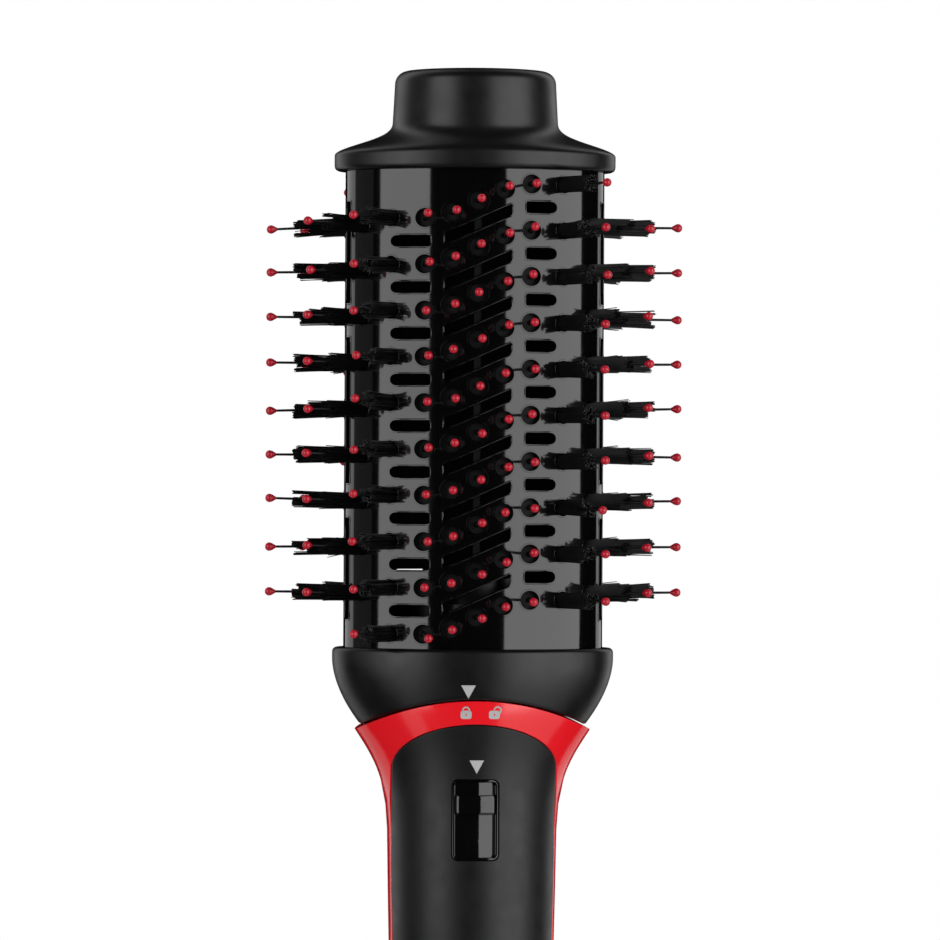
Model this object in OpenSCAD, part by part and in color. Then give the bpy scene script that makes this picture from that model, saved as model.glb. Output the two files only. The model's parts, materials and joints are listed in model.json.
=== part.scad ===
// Hot-air styling brush with a removable oval brush head.
// +Z runs up the axis to the tip, -Y is the front and z = 0 is the flat of the base.

/* [Brush head] */
// Width of the oval barrel
barrel_w = 61; // [58:0.5:66]
// Depth of the oval barrel
barrel_d = 41; // [39:0.5:44]
// Radius of the barrel's narrow sides
side_r = 15; // [13.5:0.5:17]
// Length of barrel between cap and collar
barrel_len = 111.8; // [111:0.4:130]
// Wall of the barrel sleeve
barrel_wall = 1.4; // [1.2:0.1:1.8]
// Thickness of the moulded plates that carry the pins
plate_t = 1.6; // [1.2:0.1:2]
// Thickness of the webs inside the head
web_t = 1.6; // [1.2:0.1:2.4]

/* [Bristles] */
// Rows of bristles up the barrel
rows = 10; // [6:1:10]
// Distance from row to row
row_pitch = 10.76; // [10.4:0.02:11]
// How far a row bends up and down towards the sides
row_swing = 4; // [3.4:0.1:4.4]
// Distance between bare pins across the front
pin_gap = 6.2; // [5.8:0.1:6.4]
// Radius of a pin's stem
pin_r = 0.35; // [0.3:0.05:0.5]
// From the barrel's skin to the centre of a pin's ball
pin_reach = 17.5; // [14:0.5:22]
// Radius of the ball on a pin
ball_r = 1.1; // [0.9:0.05:1.3]
// From the barrel's skin to the end of a tuft
tuft_reach = 12.3; // [8:0.1:13]
// Radius of a tuft
tuft_r = 2.05; // [1.8:0.05:2.2]
// Radius of the air hole round a bare pin
ring_hole_r = 2.38; // [2:0.02:2.6]
// Height of the air slots
vent_h = 3; // [2.4:0.1:3.4]

/* [Tip cap and collar] */
// Height of the tip cap
cap_h = 23.6; // [22:0.2:30]
// Rounding of the cap's top edge
cap_edge = 2.8; // [1:0.2:3.6]
// Radius of the cap's round neck
neck_r = 19.1; // [17:0.1:21]
// How far cap and collar stand out from the barrel
lip = 2.6; // [2.2:0.1:4]
// Wall of cap and collar
shell_t = 2; // [1.6:0.1:2.4]
// Height of the collar above the crown of the seam
collar_h = 11.6; // [11.4:0.2:16]
// Depth of the collar's bowl below its top edge
bowl_h = 19; // [18.8:0.1:20]
// How much narrower the bowl's foot is on each side
bowl_taper = 7.3; // [5:0.1:8]
// Radius of the arched seam between head and handle
seam_r = 57; // [55:1:80]
// Height of the seam's crown
seam_z = 223; // [219:1:240]
// Gap in the seam
seam_gap = 0.35; // [0.3:0.05:0.6]

/* [Twist lock] */
// Turn from locked to unlocked
unlock_turn = 18; // [12:1:20]
// Rise of the head over that turn
unlock_rise = 1.6; // [1.6:0.1:2.2]
// Outer radius of the air spigot
spigot_r = 15; // [14.8:0.1:15.4]
// Wall of the air spigot
spigot_wall = 1.6; // [1.4:0.1:1.8]
// Running clearance of the twist lock
run = 0.05; // [0.03:0.01:0.08]
// Angle that one bayonet lug spans
lug_angle = 12; // [8:1:14]
// Height of a bayonet lug
lug_h = 2.5; // [2:0.1:3]

/* [Handle] */
// Radius of the handle at its top
grip_r = 19.8; // [19.6:0.1:21]
// Depth of the waist in the handle
waist = 1; // [0:0.1:1.2]
// Thickness of the soft grips
grip_t = 1.6; // [1.4:0.1:1.8]
// Half width of the red stripe down each side
stripe_half = 5; // [3:0.5:7]
// How far the yoke flares to each side at the seam
flare = 11; // [8:0.2:11.6]
// How far the yoke deepens to front and back at the seam
flare_deep = 2; // [1:0.1:2.4]
// Length over which the flare fades
flare_len = 13.8; // [12:0.2:15]
// Radius of the bore inside the handle
bore_r = 16; // [15.6:0.1:16.2]
// Width of the release slide's tray
tray_w = 11.1; // [9:0.1:12]
// Length of the release slide's tray
tray_len = 19; // [18.4:0.2:21]
// Travel of the release slide
release_travel = 5; // [3:0.5:6]

/* [Dial and base] */
// Height of the base cap
base_h = 22; // [20:0.5:26]
// Height of the setting dial
dial_h = 16; // [14:0.5:20]
// Radius of the setting dial
dial_r = 19.6; // [19.2:0.1:21]
// Radius of the neck inside the dial
dial_neck_r = 15.6; // [15.4:0.1:16]
// Turn of the dial from off to high
dial_turn = 120; // [90:5:120]
// Radius of the hole for the cord
cord_r = 3.5; // [3:0.1:4]
// Radius of the swivel that the cord comes out of
swivel_r = 6; // [5.6:0.1:6.6]

/* [Motor and heater] */
// Radius of the motor case
motor_r = 14; // [12.5:0.1:14.2]
// Length of the motor case
motor_len = 36; // [32:1:40]
// Radius of the motor shaft
shaft_r = 1; // [0.9:0.1:1.4]
// Blades of the impeller
blades = 11; // [7:1:13]
// Outer radius of the mica tube
mica_r = 12; // [11:0.1:12.2]
// Thickness of the mica boards
mica_t = 0.6; // [0.5:0.1:1]
// Turns of the heating coil
coil_turns = 14; // [8:1:16]
// Radius of the heating wire
coil_wire = 0.45; // [0.35:0.05:0.5]

/* [Hidden] */
$fn = 64;
fine = 180;      // facets on large, shallow rounds
eps = 0.01;
gap = 0.3;       // between separate curved pieces
snug = 0.15;     // between pieces that locate each other
facets = 48;     // points round a lofted section

black = "#232323";
gloss_black = "#15171a";
red = "#d9202b";
grey = "#b8b8b8";
mica = "#c9b48a";
steel = "#a9adb2";
copper = "#b06a3b";

// Levels up the axis
collar_top = seam_z + collar_h;
flange_z = collar_top + barrel_len;
total_h = flange_z + cap_h;
seat = 2;                                   // how deep the sleeve sits in cap and collar
sleeve_bottom = collar_top - seat;
sleeve_top = flange_z + seat;
floor_z = seam_z + 4;                       // floor inside the collar
floor_t = 2.5;
ring_flange_t = 1.5;
core_z = floor_z + floor_t + ring_flange_t; // underside of the core's lower plate
plate_end = 2;                              // thickness of the core's end plates
core_top = flange_z + 1;
grip_top = seam_z - 5.8;
loft_z = seam_z - 41;                       // where the yoke has faded into the round handle
dial_z = base_h + gap;
neck_top = dial_z + dial_h + gap;
grip_z = neck_top + 0.2;
ring_wall = 2;                              // wall of the bayonet ring
ring_r = spigot_r + run;
motor_z = neck_top + 14;
motor_top = motor_z + motor_len;
fan_z = motor_top + 4;
fan_h = 12;
fan_r = bore_r - 1.2;
vane_z = fan_z + fan_h + 1.5;
vane_h = 6;
vane_seat = 1.2;
first_row = flange_z - (barrel_len - (rows - 1) * row_pitch) / 2;

// Plan of the barrel: two side arcs and two broad arcs that meet them smoothly
half_w = barrel_w / 2;
half_d = barrel_d / 2;
side_x = half_w - side_r;
broad_r = (side_x * side_x + half_d * half_d - side_r * side_r) / (2 * (half_d - side_r));
broad_y = broad_r - half_d;
meet_angle = atan2(broad_y, side_x);
skin_to_plate = barrel_wall + 0.4;
plate_depth = skin_to_plate + plate_t;

// One oval of half width a, half depth b and side radius r, as n points at level z
function oval(a, b, r, z, n = facets) = let (
        big = (pow(a - r, 2) + b * b - r * r) / (2 * (b - r)),
        turn = atan2(big - b, a - r))
    [for (i = [0:n - 1]) let (
            t = 360 * i / n,
            c = cos(t), s = sin(t),
            side = abs(c) >= cos(turn))
        side ? [sign(c) * (a - r) + r * c, r * s, z]
            : [big * c, big * s - sign(s) * (big - b), z]];
plump = 0.73;                      // side radius of cap, collar and yoke as a share of half depth
function flat(points) = [for (p = points) [p[0], p[1]]];

// Closed ring of sections, or a plug with both ends filled when ends is true
module loft(sections, ends = false) {
    n = len(sections[0]);
    m = len(sections);
    walls = [for (k = [0:ends ? m - 2 : m - 1], i = [0:n - 1]) let (
            a = k * n + i, b = k * n + (i + 1) % n,
            c = (k + 1) % m * n + i, d = (k + 1) % m * n + (i + 1) % n)
        each [[a, c, d], [a, d, b]]];
    caps = ends ? [[for (i = [0:n - 1]) i], [for (i = [n - 1:-1:0]) (m - 1) * n + i]] : [];
    polyhedron([for (s = sections) each s], concat(walls, caps));
}

module barrel_plan(inset) {
    polygon(flat(oval(half_w - inset, half_d - inset, side_r - inset, 0, 96)));
}

module ring(outer, inner, h) {
    difference() {
        cylinder(r = outer, h = h);
        translate([0, 0, -1]) cylinder(r = inner, h = h + 2);
    }
}

// Sector of a ring between two angles
module sector(inner, outer, h, from, to) {
    rotate(from) rotate_extrude(angle = to - from) translate([inner, 0]) square([outer - inner, h]);
}

// ---- Bristle pattern ----
bare_x = [-2 * pin_gap, -pin_gap, 0, pin_gap, 2 * pin_gap];
swing_x = 13;                      // beyond this the row's bend stays level
outer_angle = 30.7;                // tufts on the broad arc, from its middle
side_angles = [-42, 0, 42];        // tufts on a side arc
function bend(x) = row_swing * sin(90 * max(-1, min(1, x / swing_x)));

// Each place_* puts its children at the skin, with +Z pointing out of the barrel
module place_bare(x, z) {
    skin_y = broad_y - sqrt(broad_r * broad_r - x * x);
    translate([x, skin_y, z + bend(x)]) rotate([90, 0, 0]) children();
}
module place_outer(side, z) {
    translate([0, broad_y, z + side * row_swing]) rotate([90, 0, side * outer_angle])
        translate([0, 0, broad_r]) children();
}
module place_side(angle, z) {
    translate([side_x, 0, z]) rotate([0, 90, angle]) translate([0, 0, side_r]) children();
}
module each_bare() {
    for (i = [0:rows - 1], x = bare_x) place_bare(x, first_row - i * row_pitch) children();
}
module each_outer() {
    for (i = [0:rows - 1], s = [-1, 1]) place_outer(s, first_row - i * row_pitch) children();
}
module each_side() {
    for (i = [0:rows - 2], a = side_angles)
        place_side(a, first_row - (i + 0.5) * row_pitch) children();
}

ball_flat = sqrt(ball_r * ball_r - pin_r * pin_r);
pin_root = 1.2;                    // how deep a pin is moulded into its plate
module pin() {
    start = -skin_to_plate - pin_root;
    translate([0, 0, start]) cylinder(r = pin_r, h = pin_reach - ball_flat - start);
}
module pin_tip() {
    translate([0, 0, pin_reach]) intersection() {
        sphere(r = ball_r);
        translate([-2, -2, -ball_flat]) cube(4);
    }
}
module tuft() {
    translate([0, 0, -skin_to_plate]) ring(tuft_r, pin_r + 0.05, tuft_reach + skin_to_plate);
}
module hole(r) {
    translate([0, 0, -6]) cylinder(r = r, h = 12);
}

// ---- Air slots in the front of the barrel ----
left_slot = [-20.4, -11];
right_slot = [11, 18.6];
middle_half = 8;
slant = 23.5;
slot_rise = 1.4;
module slot_outline(from, to, round_left) {
    r = vent_h / 2;
    inner = round_left ? from + r : from;
    outer = round_left ? to : to - r;
    translate([inner, -r]) square([outer - inner, vent_h]);
    translate([round_left ? inner : outer, 0]) circle(r = r);
}
module air_slots() {
    for (i = [0:rows - 2]) {
        z = first_row - (i + 1) * row_pitch;
        translate([0, 0, z + slot_rise]) rotate([90, 0, 0]) linear_extrude(40)
            slot_outline(left_slot[0], left_slot[1], true);
        translate([0, 0, z + row_pitch - slot_rise]) rotate([90, 0, 0]) linear_extrude(40)
            slot_outline(right_slot[0], right_slot[1], false);
        translate([0, 0, z + row_pitch / 2]) rotate([90, 0, 0]) linear_extrude(40)
            polygon([for (p = [[-1, -1], [1, -1], [1, 1], [-1, 1]])
                [p[0] * middle_half, p[0] * middle_half * tan(slant) + p[1] * vent_h / 2]]);
    }
}
long_slot_w = 3.6;
long_slot_angle = 17;
long_slots = [[30.7, 54.9], [62.5, 97.1], [104.8, 129]];   // from the tip, top and bottom of each
module side_slots() {
    for (s = long_slots, a = [-long_slot_angle, long_slot_angle])
        translate([side_x, 0, total_h - s[1]]) rotate(a)
            translate([8, -long_slot_w / 2, 0]) cube([12, long_slot_w, s[1] - s[0]]);
}

// ---- Head ----
module barrel_sleeve() {
    color(gloss_black) difference() {
        translate([0, 0, sleeve_bottom]) linear_extrude(sleeve_top - sleeve_bottom)
            barrel_plan(0);
        translate([0, 0, sleeve_bottom - 1]) linear_extrude(sleeve_top - sleeve_bottom + 2)
            barrel_plan(barrel_wall);
        for (t = [0, 180]) rotate(t) {
            each_bare() hole(ring_hole_r);
            each_outer() hole(tuft_r + 0.1);
            each_side() hole(tuft_r + 0.1);
            air_slots();
            side_slots();
        }
    }
}

plate_bottom = sleeve_bottom + 2.2;
plate_len = core_top - plate_end - plate_bottom;
broad_span = 90 - meet_angle - 1;
side_span = meet_angle - 1.5;
module broad_plate() {
    outer = broad_r - skin_to_plate;
    difference() {
        translate([0, broad_y, plate_bottom])
            sector(outer - plate_t, outer, plate_len, -90 - broad_span, -90 + broad_span);
        air_slots();
    }
}
module side_plate() {
    outer = side_r - skin_to_plate;
    translate([side_x, 0, plate_bottom])
        sector(outer - plate_t, outer, plate_len, -side_span, side_span);
}
module front_pin_plate() { color(black) broad_plate(); }
module back_pin_plate() { color(black) rotate(180) broad_plate(); }
module right_pin_plate() { color(black) side_plate(); }
module left_pin_plate() { color(black) rotate(180) side_plate(); }

module broad_pins() { each_bare() pin(); each_outer() pin(); }
module front_pins() { color(black) broad_pins(); }
module back_pins() { color(black) rotate(180) broad_pins(); }
module right_pins() { color(black) each_side() pin(); }
module left_pins() { color(black) rotate(180) each_side() pin(); }

module broad_tips() { each_bare() pin_tip(); each_outer() pin_tip(); }
module front_pin_tips() { color(red) broad_tips(); }
module back_pin_tips() { color(red) rotate(180) broad_tips(); }
module right_pin_tips() { color(red) each_side() pin_tip(); }
module left_pin_tips() { color(red) rotate(180) each_side() pin_tip(); }

module front_tufts() { color(black) each_outer() tuft(); }
module back_tufts() { color(black) rotate(180) each_outer() tuft(); }
module right_tufts() { color(black) each_side() tuft(); }
module left_tufts() { color(black) rotate(180) each_side() tuft(); }

// Frame inside the head: two end plates and crossed webs that back the pin plates
web_x = side_x + side_r - plate_depth - 0.1;
web_y = half_d - plate_depth - 0.1;
air_r = ring_r + ring_wall + gap;
cap_screw_at = [[18, -6], [-18, 6]];
head_screw_len = 6;
screw_clear = 0.4;                 // depth left beyond a screw's end
collar_screw_x = half_w - 6.6;
screw_r = 1.1;
screw_head_r = 2.2;
module air_core() {
    color(black) difference() {
        union() {
            translate([0, 0, core_z]) linear_extrude(plate_end) barrel_plan(barrel_wall + snug);
            translate([0, 0, core_top - plate_end]) linear_extrude(plate_end)
                barrel_plan(barrel_wall + snug);
            webs_z = spigot_top + 2;
            for (w = [[web_x, web_t / 2], [web_t / 2, web_y]])
                translate([-w[0], -w[1], webs_z]) cube([2 * w[0], 2 * w[1], core_top - webs_z]);
            for (s = [-1, 1]) {
                translate([s * collar_screw_x, 0, floor_z + floor_t])
                    cylinder(r = 3, h = ring_flange_t + 8);
                translate([s > 0 ? air_r + 1 : -web_x, -web_t / 2, core_z])
                    cube([web_x - air_r - 1, web_t, webs_z - core_z + 1]);
            }
        }
        translate([0, 0, core_z - 1]) cylinder(r = air_r, h = plate_end + 2);
        for (p = cap_screw_at) translate([p[0], p[1], core_top - plate_end - 1])
            cylinder(r = screw_r + 0.2, h = plate_end + 2);
        for (s = [-1, 1]) translate([s * collar_screw_x, 0, floor_z])
            cylinder(r = screw_r, h = head_screw_len + screw_clear);
    }
}

// Outer half width of the cap at a depth below the tip: a drafted neck, then an S-shaped flare
cap_a = half_w + lip;
cap_b = half_d + lip;
flare_top = cap_h - 12;
function cap_half(drop) = let (
        t = max(0, min(1, (drop - flare_top) / 8.6)),
        neck = neck_r - 0.3 + 0.055 * min(drop, 12))
    neck + (cap_a - neck) * (1 - cos(180 * pow(t, 1.5))) / 2;
function cap_section(drop, inset, lower) = let (
        a = cap_half(drop),
        b = neck_r + (a - neck_r) * (cap_b - neck_r) / (cap_a - neck_r),
        r = plump * b)
    oval(a - inset, b - inset, r - inset, total_h - drop - lower);
module tip_cap() {
    drops = [0.9, 4, 8, flare_top, flare_top + 2, flare_top + 3.4, flare_top + 4.8,
        flare_top + 6.2, flare_top + 7.6, flare_top + 9];
    ledge = cap_h - seat;
    rim_in = oval(half_w + snug, half_d + snug, side_r + snug, 0);
    color(black) difference() {
        union() {
            loft(concat(
                [for (i = [0:len(drops) - 2]) cap_section(drops[i], shell_t, shell_t)],
                [oval(half_w - 1, half_d - 1, side_r - 1, total_h - ledge)],
                [[for (p = rim_in) [p[0], p[1], total_h - ledge]]],
                [[for (p = rim_in) [p[0], p[1], flange_z]]],
                [oval(cap_a - 0.4, cap_b - 0.4, plump * cap_b - 0.4, flange_z)],
                [oval(cap_a, cap_b, plump * cap_b, flange_z + 0.8)],
                [for (i = [len(drops) - 1:-1:1]) cap_section(drops[i], 0, 0)],
                [for (t = [0:22.5:90])
                    cap_section(cap_edge * (1 - sin(t)), cap_edge * (1 - cos(t)), 0)]), true);
            for (p = cap_screw_at) translate([p[0], p[1], core_top])
                cylinder(r = 2.6, h = head_screw_len - plate_end + 1);
        }
        for (p = cap_screw_at) translate([p[0], p[1], core_top - 1])
            cylinder(r = screw_r, h = head_screw_len - plate_end + 1 + screw_clear);
    }
}
// Screw with its head above z = 0 and its shank below
module screw(head_h, shank) {
    difference() {
        union() {
            cylinder(r = screw_head_r, h = head_h);
            translate([0, 0, -shank]) cylinder(r = screw_r, h = shank + eps);
        }
        translate([-1.6, -0.25, head_h - 0.7]) cube([3.2, 0.5, 1]);
        translate([-0.25, -1.6, head_h - 0.7]) cube([0.5, 3.2, 1]);
    }
}

// Outer half width of the collar's bowl below its top edge
function bowl_half(drop) =
    cap_a - bowl_taper * pow(max(0, drop - 2.6) / (bowl_h - 2.6), 1.8);
function bowl_section(drop, inset, z = undef) = let (
        a = bowl_half(drop),
        b = cap_b - (cap_a - a) * 0.3,
        r = plump * b)
    oval(a - inset, b - inset, r - inset, is_undef(z) ? collar_top - drop : z);
module seam(r) {
    translate([0, 0, seam_z - seam_r]) rotate([90, 0, 0])
        cylinder(r = r, h = 4 * half_d, center = true, $fn = fine);
}
pawl_half = 2.4;
pawl_out = ring_r + ring_wall - 0.25;
pawl_in = pawl_out - 1;
pawl_top = floor_z + 1.5;
module pawl_window() {
    side = atan2(pawl_half, pawl_in) + 1.5;
    translate([0, 0, seam_z]) sector(spigot_r - 1, ring_r + ring_wall + 0.4,
        pawl_top + 0.6 - seam_z, -90 - side - unlock_turn, -90 + side);
}
module collar() {
    drops = [3, 6, 8.5, 11, 13.5, 16, 17.6, bowl_h];
    ledge = oval(half_w + snug, half_d + snug, side_r + snug, 0);
    color(black) difference() {
        union() {
            loft(concat(
                [[for (p = ledge) [p[0], p[1], collar_top]]],
                [[for (p = ledge) [p[0], p[1], sleeve_bottom]]],
                [oval(half_w - 1.4, half_d - 1.4, side_r - 1.4, sleeve_bottom)],
                [for (i = [1:len(drops) - 1]) bowl_section(drops[i], shell_t)],
                [for (i = [len(drops) - 1:-1:0]) bowl_section(drops[i], 0)],
                [bowl_section(0, 0, collar_top - 0.5)],
                [bowl_section(0, 0.5, collar_top)]));
            loft([bowl_section(collar_top - floor_z, shell_t / 2),
                bowl_section(collar_top - floor_z - floor_t, shell_t / 2)], true);
        }
        translate([0, 0, floor_z - 1]) cylinder(r = ring_r + ring_wall + run, h = floor_t + 2);
        for (s = [-1, 1]) translate([s * collar_screw_x, 0, floor_z - 1])
            cylinder(r = screw_r + 0.2, h = floor_t + 2);
        pawl_window();
        seam(seam_r);
    }
}
module head_screws() {
    color(steel) union() {
        for (p = cap_screw_at) translate([p[0], p[1], core_top - plate_end])
            mirror([0, 0, 1]) screw(1.6, head_screw_len);
        for (s = [-1, 1]) translate([s * collar_screw_x, 0, floor_z])
            mirror([0, 0, 1]) screw(1.6, head_screw_len);
    }
}

lug_angles = [-30, 90, 210];
lug_z = floor_z + 10;
ring_bottom = floor_z - 1.5;
ring_top = lug_z + 8;
module bayonet_ring() {
    color(black) difference() {
        union() {
            translate([0, 0, ring_bottom]) ring(ring_r + ring_wall, ring_r, ring_top - ring_bottom);
            translate([0, 0, floor_z + floor_t]) ring(half_d - 2.2, ring_r + 1, ring_flange_t);
            for (a = lug_angles) translate([0, 0, lug_z])
                sector(spigot_r - 0.8, ring_r + 1, lug_h, a - lug_angle / 2, a + lug_angle / 2);
        }
        pawl_window();
        for (s = [-1, 1]) translate([s * collar_screw_x, 0, floor_z]) cylinder(r = 3.2, h = 10);
    }
}
seal_z = floor_z + 4.5;
seal_r = 0.5;
seal_at = ring_r - run - seal_r;
module head_seal() {
    color(black) translate([0, 0, seal_z]) rotate_extrude()
        translate([seal_at, 0]) circle(r = seal_r, $fn = 24);
}

// ---- Spigot that the head plugs onto ----
shelf_z = seam_z - 17;
shelf_t = 3;
spigot_rise = 24;                  // above the head's floor
spigot_top = floor_z + spigot_rise;
spigot_in = spigot_r - spigot_wall;
track_clear = 0.35;                // round a lug in its track
lug_half = lug_angle / 2 + 1;
function track_x(angle) = spigot_r * sin(angle - unlock_turn / 2);
// Way of one lug, cut through the wall: a ramp up to the open slot where the lug comes out
module lug_track() {
    low = lug_z - track_clear;
    high = lug_z + lug_h + track_clear;
    left = track_x(-lug_half);
    slot = track_x(unlock_turn - lug_half);
    right = track_x(unlock_turn + lug_half);
    rotate([90, 0, unlock_turn / 2 + 90]) translate([0, 0, spigot_in - 2])
        linear_extrude(spigot_wall + 4) polygon([[left, low], [right, low], [right, spigot_top + 1],
            [slot, spigot_top + 1], [slot, high + unlock_rise], [left, high]]);
}
module spigot() {
    color(black) difference() {
        union() {
            translate([0, 0, shelf_z]) cylinder(r = bore_r + 1.5, h = shelf_t);
            translate([0, 0, shelf_z]) cylinder(r = spigot_r, h = spigot_top - shelf_z);
        }
        translate([0, 0, shelf_z - 1]) cylinder(r = spigot_in, h = spigot_top - shelf_z + 2);
        for (a = lug_angles) rotate(a) lug_track();
        translate([0, 0, seal_z]) rotate_extrude()
            translate([seal_at - seal_r - run, -seal_r - run]) square([3, 2 * (seal_r + run)]);
        translate([-pawl_half - gap, -bore_r - 2, shelf_z - 1])
            cube([2 * (pawl_half + gap), bore_r + 2 - pawl_in + gap, shelf_t + 2]);
    }
}
module outlet_grille() {
    color(black) translate([0, 0, shelf_z + 0.5]) difference() {
        cylinder(r = spigot_in - run, h = 1.6);
        for (i = [-4:4]) translate([i * 2.6 - 0.85, -sqrt(pow(spigot_in - 1.6, 2) - pow(i * 2.6, 2)), -1])
            cube([1.7, 2 * sqrt(pow(spigot_in - 1.6, 2) - pow(i * 2.6, 2)), 4]);
    }
}

// ---- Handle ----
// Half width and half depth of the yoke at a level, fading into the round handle
function yoke_fade(z) = exp(-pow(max(0, seam_z - z) / flare_len, 1.6));
function handle_round(z) = grip_r - waist * sin(180 * max(0, loft_z - z) / (loft_z - grip_z));
function yoke_half(z) = handle_round(z) + (z < loft_z ? 0 : flare * yoke_fade(z));
function yoke_depth(z) = handle_round(z) + (z < loft_z ? 0 : flare_deep * yoke_fade(z));
function yoke_section(z, inset) =
    oval(yoke_half(z) - inset, yoke_depth(z) - inset, plump * (yoke_depth(z) - inset), z);
module handle_form(inset) {
    levels = [0, 12, 18.5, 23, 27, 30.5, 34, 38, 45];
    loft(concat([for (i = [6:-1:1]) yoke_section(loft_z - i * (loft_z - grip_z) / 6, inset)],
        [for (l = levels) yoke_section(loft_z + l, inset)]), true);
}
// Front outline of a grip: straight sides under a rounded arch
arch_h = 10.5;
module grip_outline(inset) {
    w = grip_r + 0.4;
    polygon(concat([[-w, grip_z - 1], [w, grip_z - 1]],
        [for (i = [0:24]) let (t = 180 * i / 24, c = cos(t), s = sin(t))
            [(grip_r - 0.3 - inset) * c, grip_top - arch_h + (arch_h - inset) * s]]));
}
module grip_region(inset) {
    intersection() {
        rotate([90, 0, 0]) linear_extrude(40) grip_outline(inset);
        translate([-40, -40 - stripe_half - inset, 0]) cube([80, 40, seam_z]);
    }
}
tray_top = grip_top - 12.8;
tray_z = tray_top - tray_len;
tray_floor = grip_r - 1.1;
tray_back = grip_r - 2.2;
corner = 1.5;
module tray_outline(inset) {
    w = tray_w / 2 - inset;
    hull() for (x = [-1, 1], z = [tray_z + inset + corner, tray_top - inset - corner])
        translate([x * (w - corner), z]) circle(r = corner, $fn = 24);
}
module tray_block(inset, from, to) {
    translate([0, -from, 0]) rotate([90, 0, 0]) linear_extrude(to - from) tray_outline(inset);
}
module front_grip() {
    color(black) difference() {
        intersection() {
            difference() {
                handle_form(0);
                handle_form(grip_t);
            }
            grip_region(snug);
        }
        tray_block(-snug, 10, 30);
    }
}
module back_grip() {
    color(black) rotate(180) intersection() {
        difference() {
            handle_form(0);
            handle_form(grip_t);
        }
        grip_region(snug);
    }
}
slide_top = tray_top - 3.7;
slide_len = 4.6;
slide_w = 9.3;
slide_r = grip_r + 0.5;            // outside of the thumb piece
stem_half = 1.5;
stem_top = slide_top - 0.8;
stem_len = slide_len - 1.6;
module stem_slot(extra) {
    translate([-stem_half - extra, -grip_r - 2, stem_top - stem_len - release_travel - extra])
        cube([2 * (stem_half + extra), 8, stem_len + release_travel + 2 * extra]);
}
pawl_foot = tray_top - 11.5;
foot_t = 2.5;
foot_in = mica_r + 0.8;
spring_len = 12;
far = 60;                          // long enough to cut right through
module housing_shell() {
    difference() {
        union() {
            handle_form(grip_t);
            difference() {
                handle_form(0);
                grip_region(0);
                rotate(180) grip_region(0);
            }
            translate([0, 0, base_h - 4]) cylinder(r = dial_neck_r, h = grip_z - base_h + 5);
        }
        translate([0, 0, grip_z + 2]) cylinder(r = bore_r, h = shelf_z - grip_z - 2);
        translate([0, 0, shelf_z - eps]) cylinder(r = bore_r + 1.5 + run, h = shelf_t + 0.1);
        translate([0, 0, shelf_z + shelf_t]) cylinder(r = spigot_r + 1.3, h = 40);
        translate([0, 0, base_h - 5]) cylinder(r = dial_neck_r - 1.7, h = 60);
        // way for the pawl, with the slot for its stem
        translate([-pawl_half - gap, -pawl_out - gap, pawl_foot - release_travel - gap])
            cube([2 * (pawl_half + gap), 4, far]);
        stem_slot(gap);
        tray_block(-snug, tray_back, 30);
        // way for the dial's finger
        translate([0, 0, finger_z - gap]) sector(dial_neck_r - 4, dial_neck_r + 1,
            finger_h + 2 * gap, finger_from - finger_half - 2, finger_from + finger_half + dial_turn + 2);
        translate([0, 0, seam_z - bowl_h]) difference() {
            cylinder(r = far, h = far);
            translate([0, 0, bowl_h - seam_z]) seam(seam_r - seam_gap);
        }
        for (a = base_screw_angles) rotate(a) translate([base_screw_at, 0, base_h - 5])
            cylinder(r = screw_r, h = 9);
    }
}
base_screw_angles = [0, 180];
base_screw_at = dial_neck_r - 2.6;
module screw_posts() {
    for (a = base_screw_angles) rotate(a) intersection() {
        translate([base_screw_at, 0, base_h - 4]) ring(2.4, screw_r, 7.5);
        cylinder(r = dial_neck_r - 1, h = 60);
    }
}
module half(front) {
    intersection() {
        children();
        translate([-50, front ? -50 : 0, 0]) cube([100, 50, total_h]);
    }
}
module front_housing() {
    color(red) union() {
        half(true) union() {
            housing_shell();
            screw_posts();
        }
        // seat under the release spring
        intersection() {
            translate([-pawl_half, -bore_r - 0.5, pawl_foot - spring_len - 2])
                cube([2 * pawl_half, bore_r + 0.5 - foot_in, 2]);
            cylinder(r = bore_r + 0.3, h = total_h);
        }
    }
}
module back_housing() {
    color(red) half(false) union() {
        housing_shell();
        screw_posts();
    }
}

// ---- Release slide ----
module slide_tray() {
    color(gloss_black) difference() {
        intersection() {
            tray_block(0, tray_back, grip_r);
            translate([0, 0, tray_z - 1]) cylinder(r = grip_r - 0.35, h = tray_len + 2, $fn = fine);
        }
        difference() {
            tray_block(0.6, tray_back - 1, grip_r + 1);
            translate([0, 0, tray_z - 1]) cylinder(r = tray_floor, h = tray_len + 2, $fn = fine);
        }
        stem_slot(gap);
    }
}
module release_slide() {
    color(gloss_black) union() {
        translate([0, 0, slide_top - slide_len]) difference() {
            intersection() {
                ring(slide_r, tray_floor + 0.1, slide_len, $fn = fine);
                translate([-slide_w / 2, -2 * grip_r, 0]) cube([slide_w, 2 * grip_r, slide_len]);
            }
            for (i = [1:3]) translate([0, 0, i * slide_len / 4 - 0.25])
                ring(slide_r + 1, slide_r - 0.3, 0.5, $fn = fine);
        }
        translate([-stem_half, -tray_floor - 1, stem_top - stem_len])
            cube([2 * stem_half, tray_floor + 1 - pawl_out, stem_len]);
    }
}
module release_pawl() {
    color(gloss_black) union() {
        translate([-pawl_half, -pawl_out, pawl_foot])
            cube([2 * pawl_half, pawl_out - pawl_in, pawl_top - pawl_foot]);
        translate([-pawl_half, -pawl_out, pawl_foot])
            cube([2 * pawl_half, pawl_out - foot_in, foot_t]);
    }
}
spring_r = 1;
spring_wire = 0.2;
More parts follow.
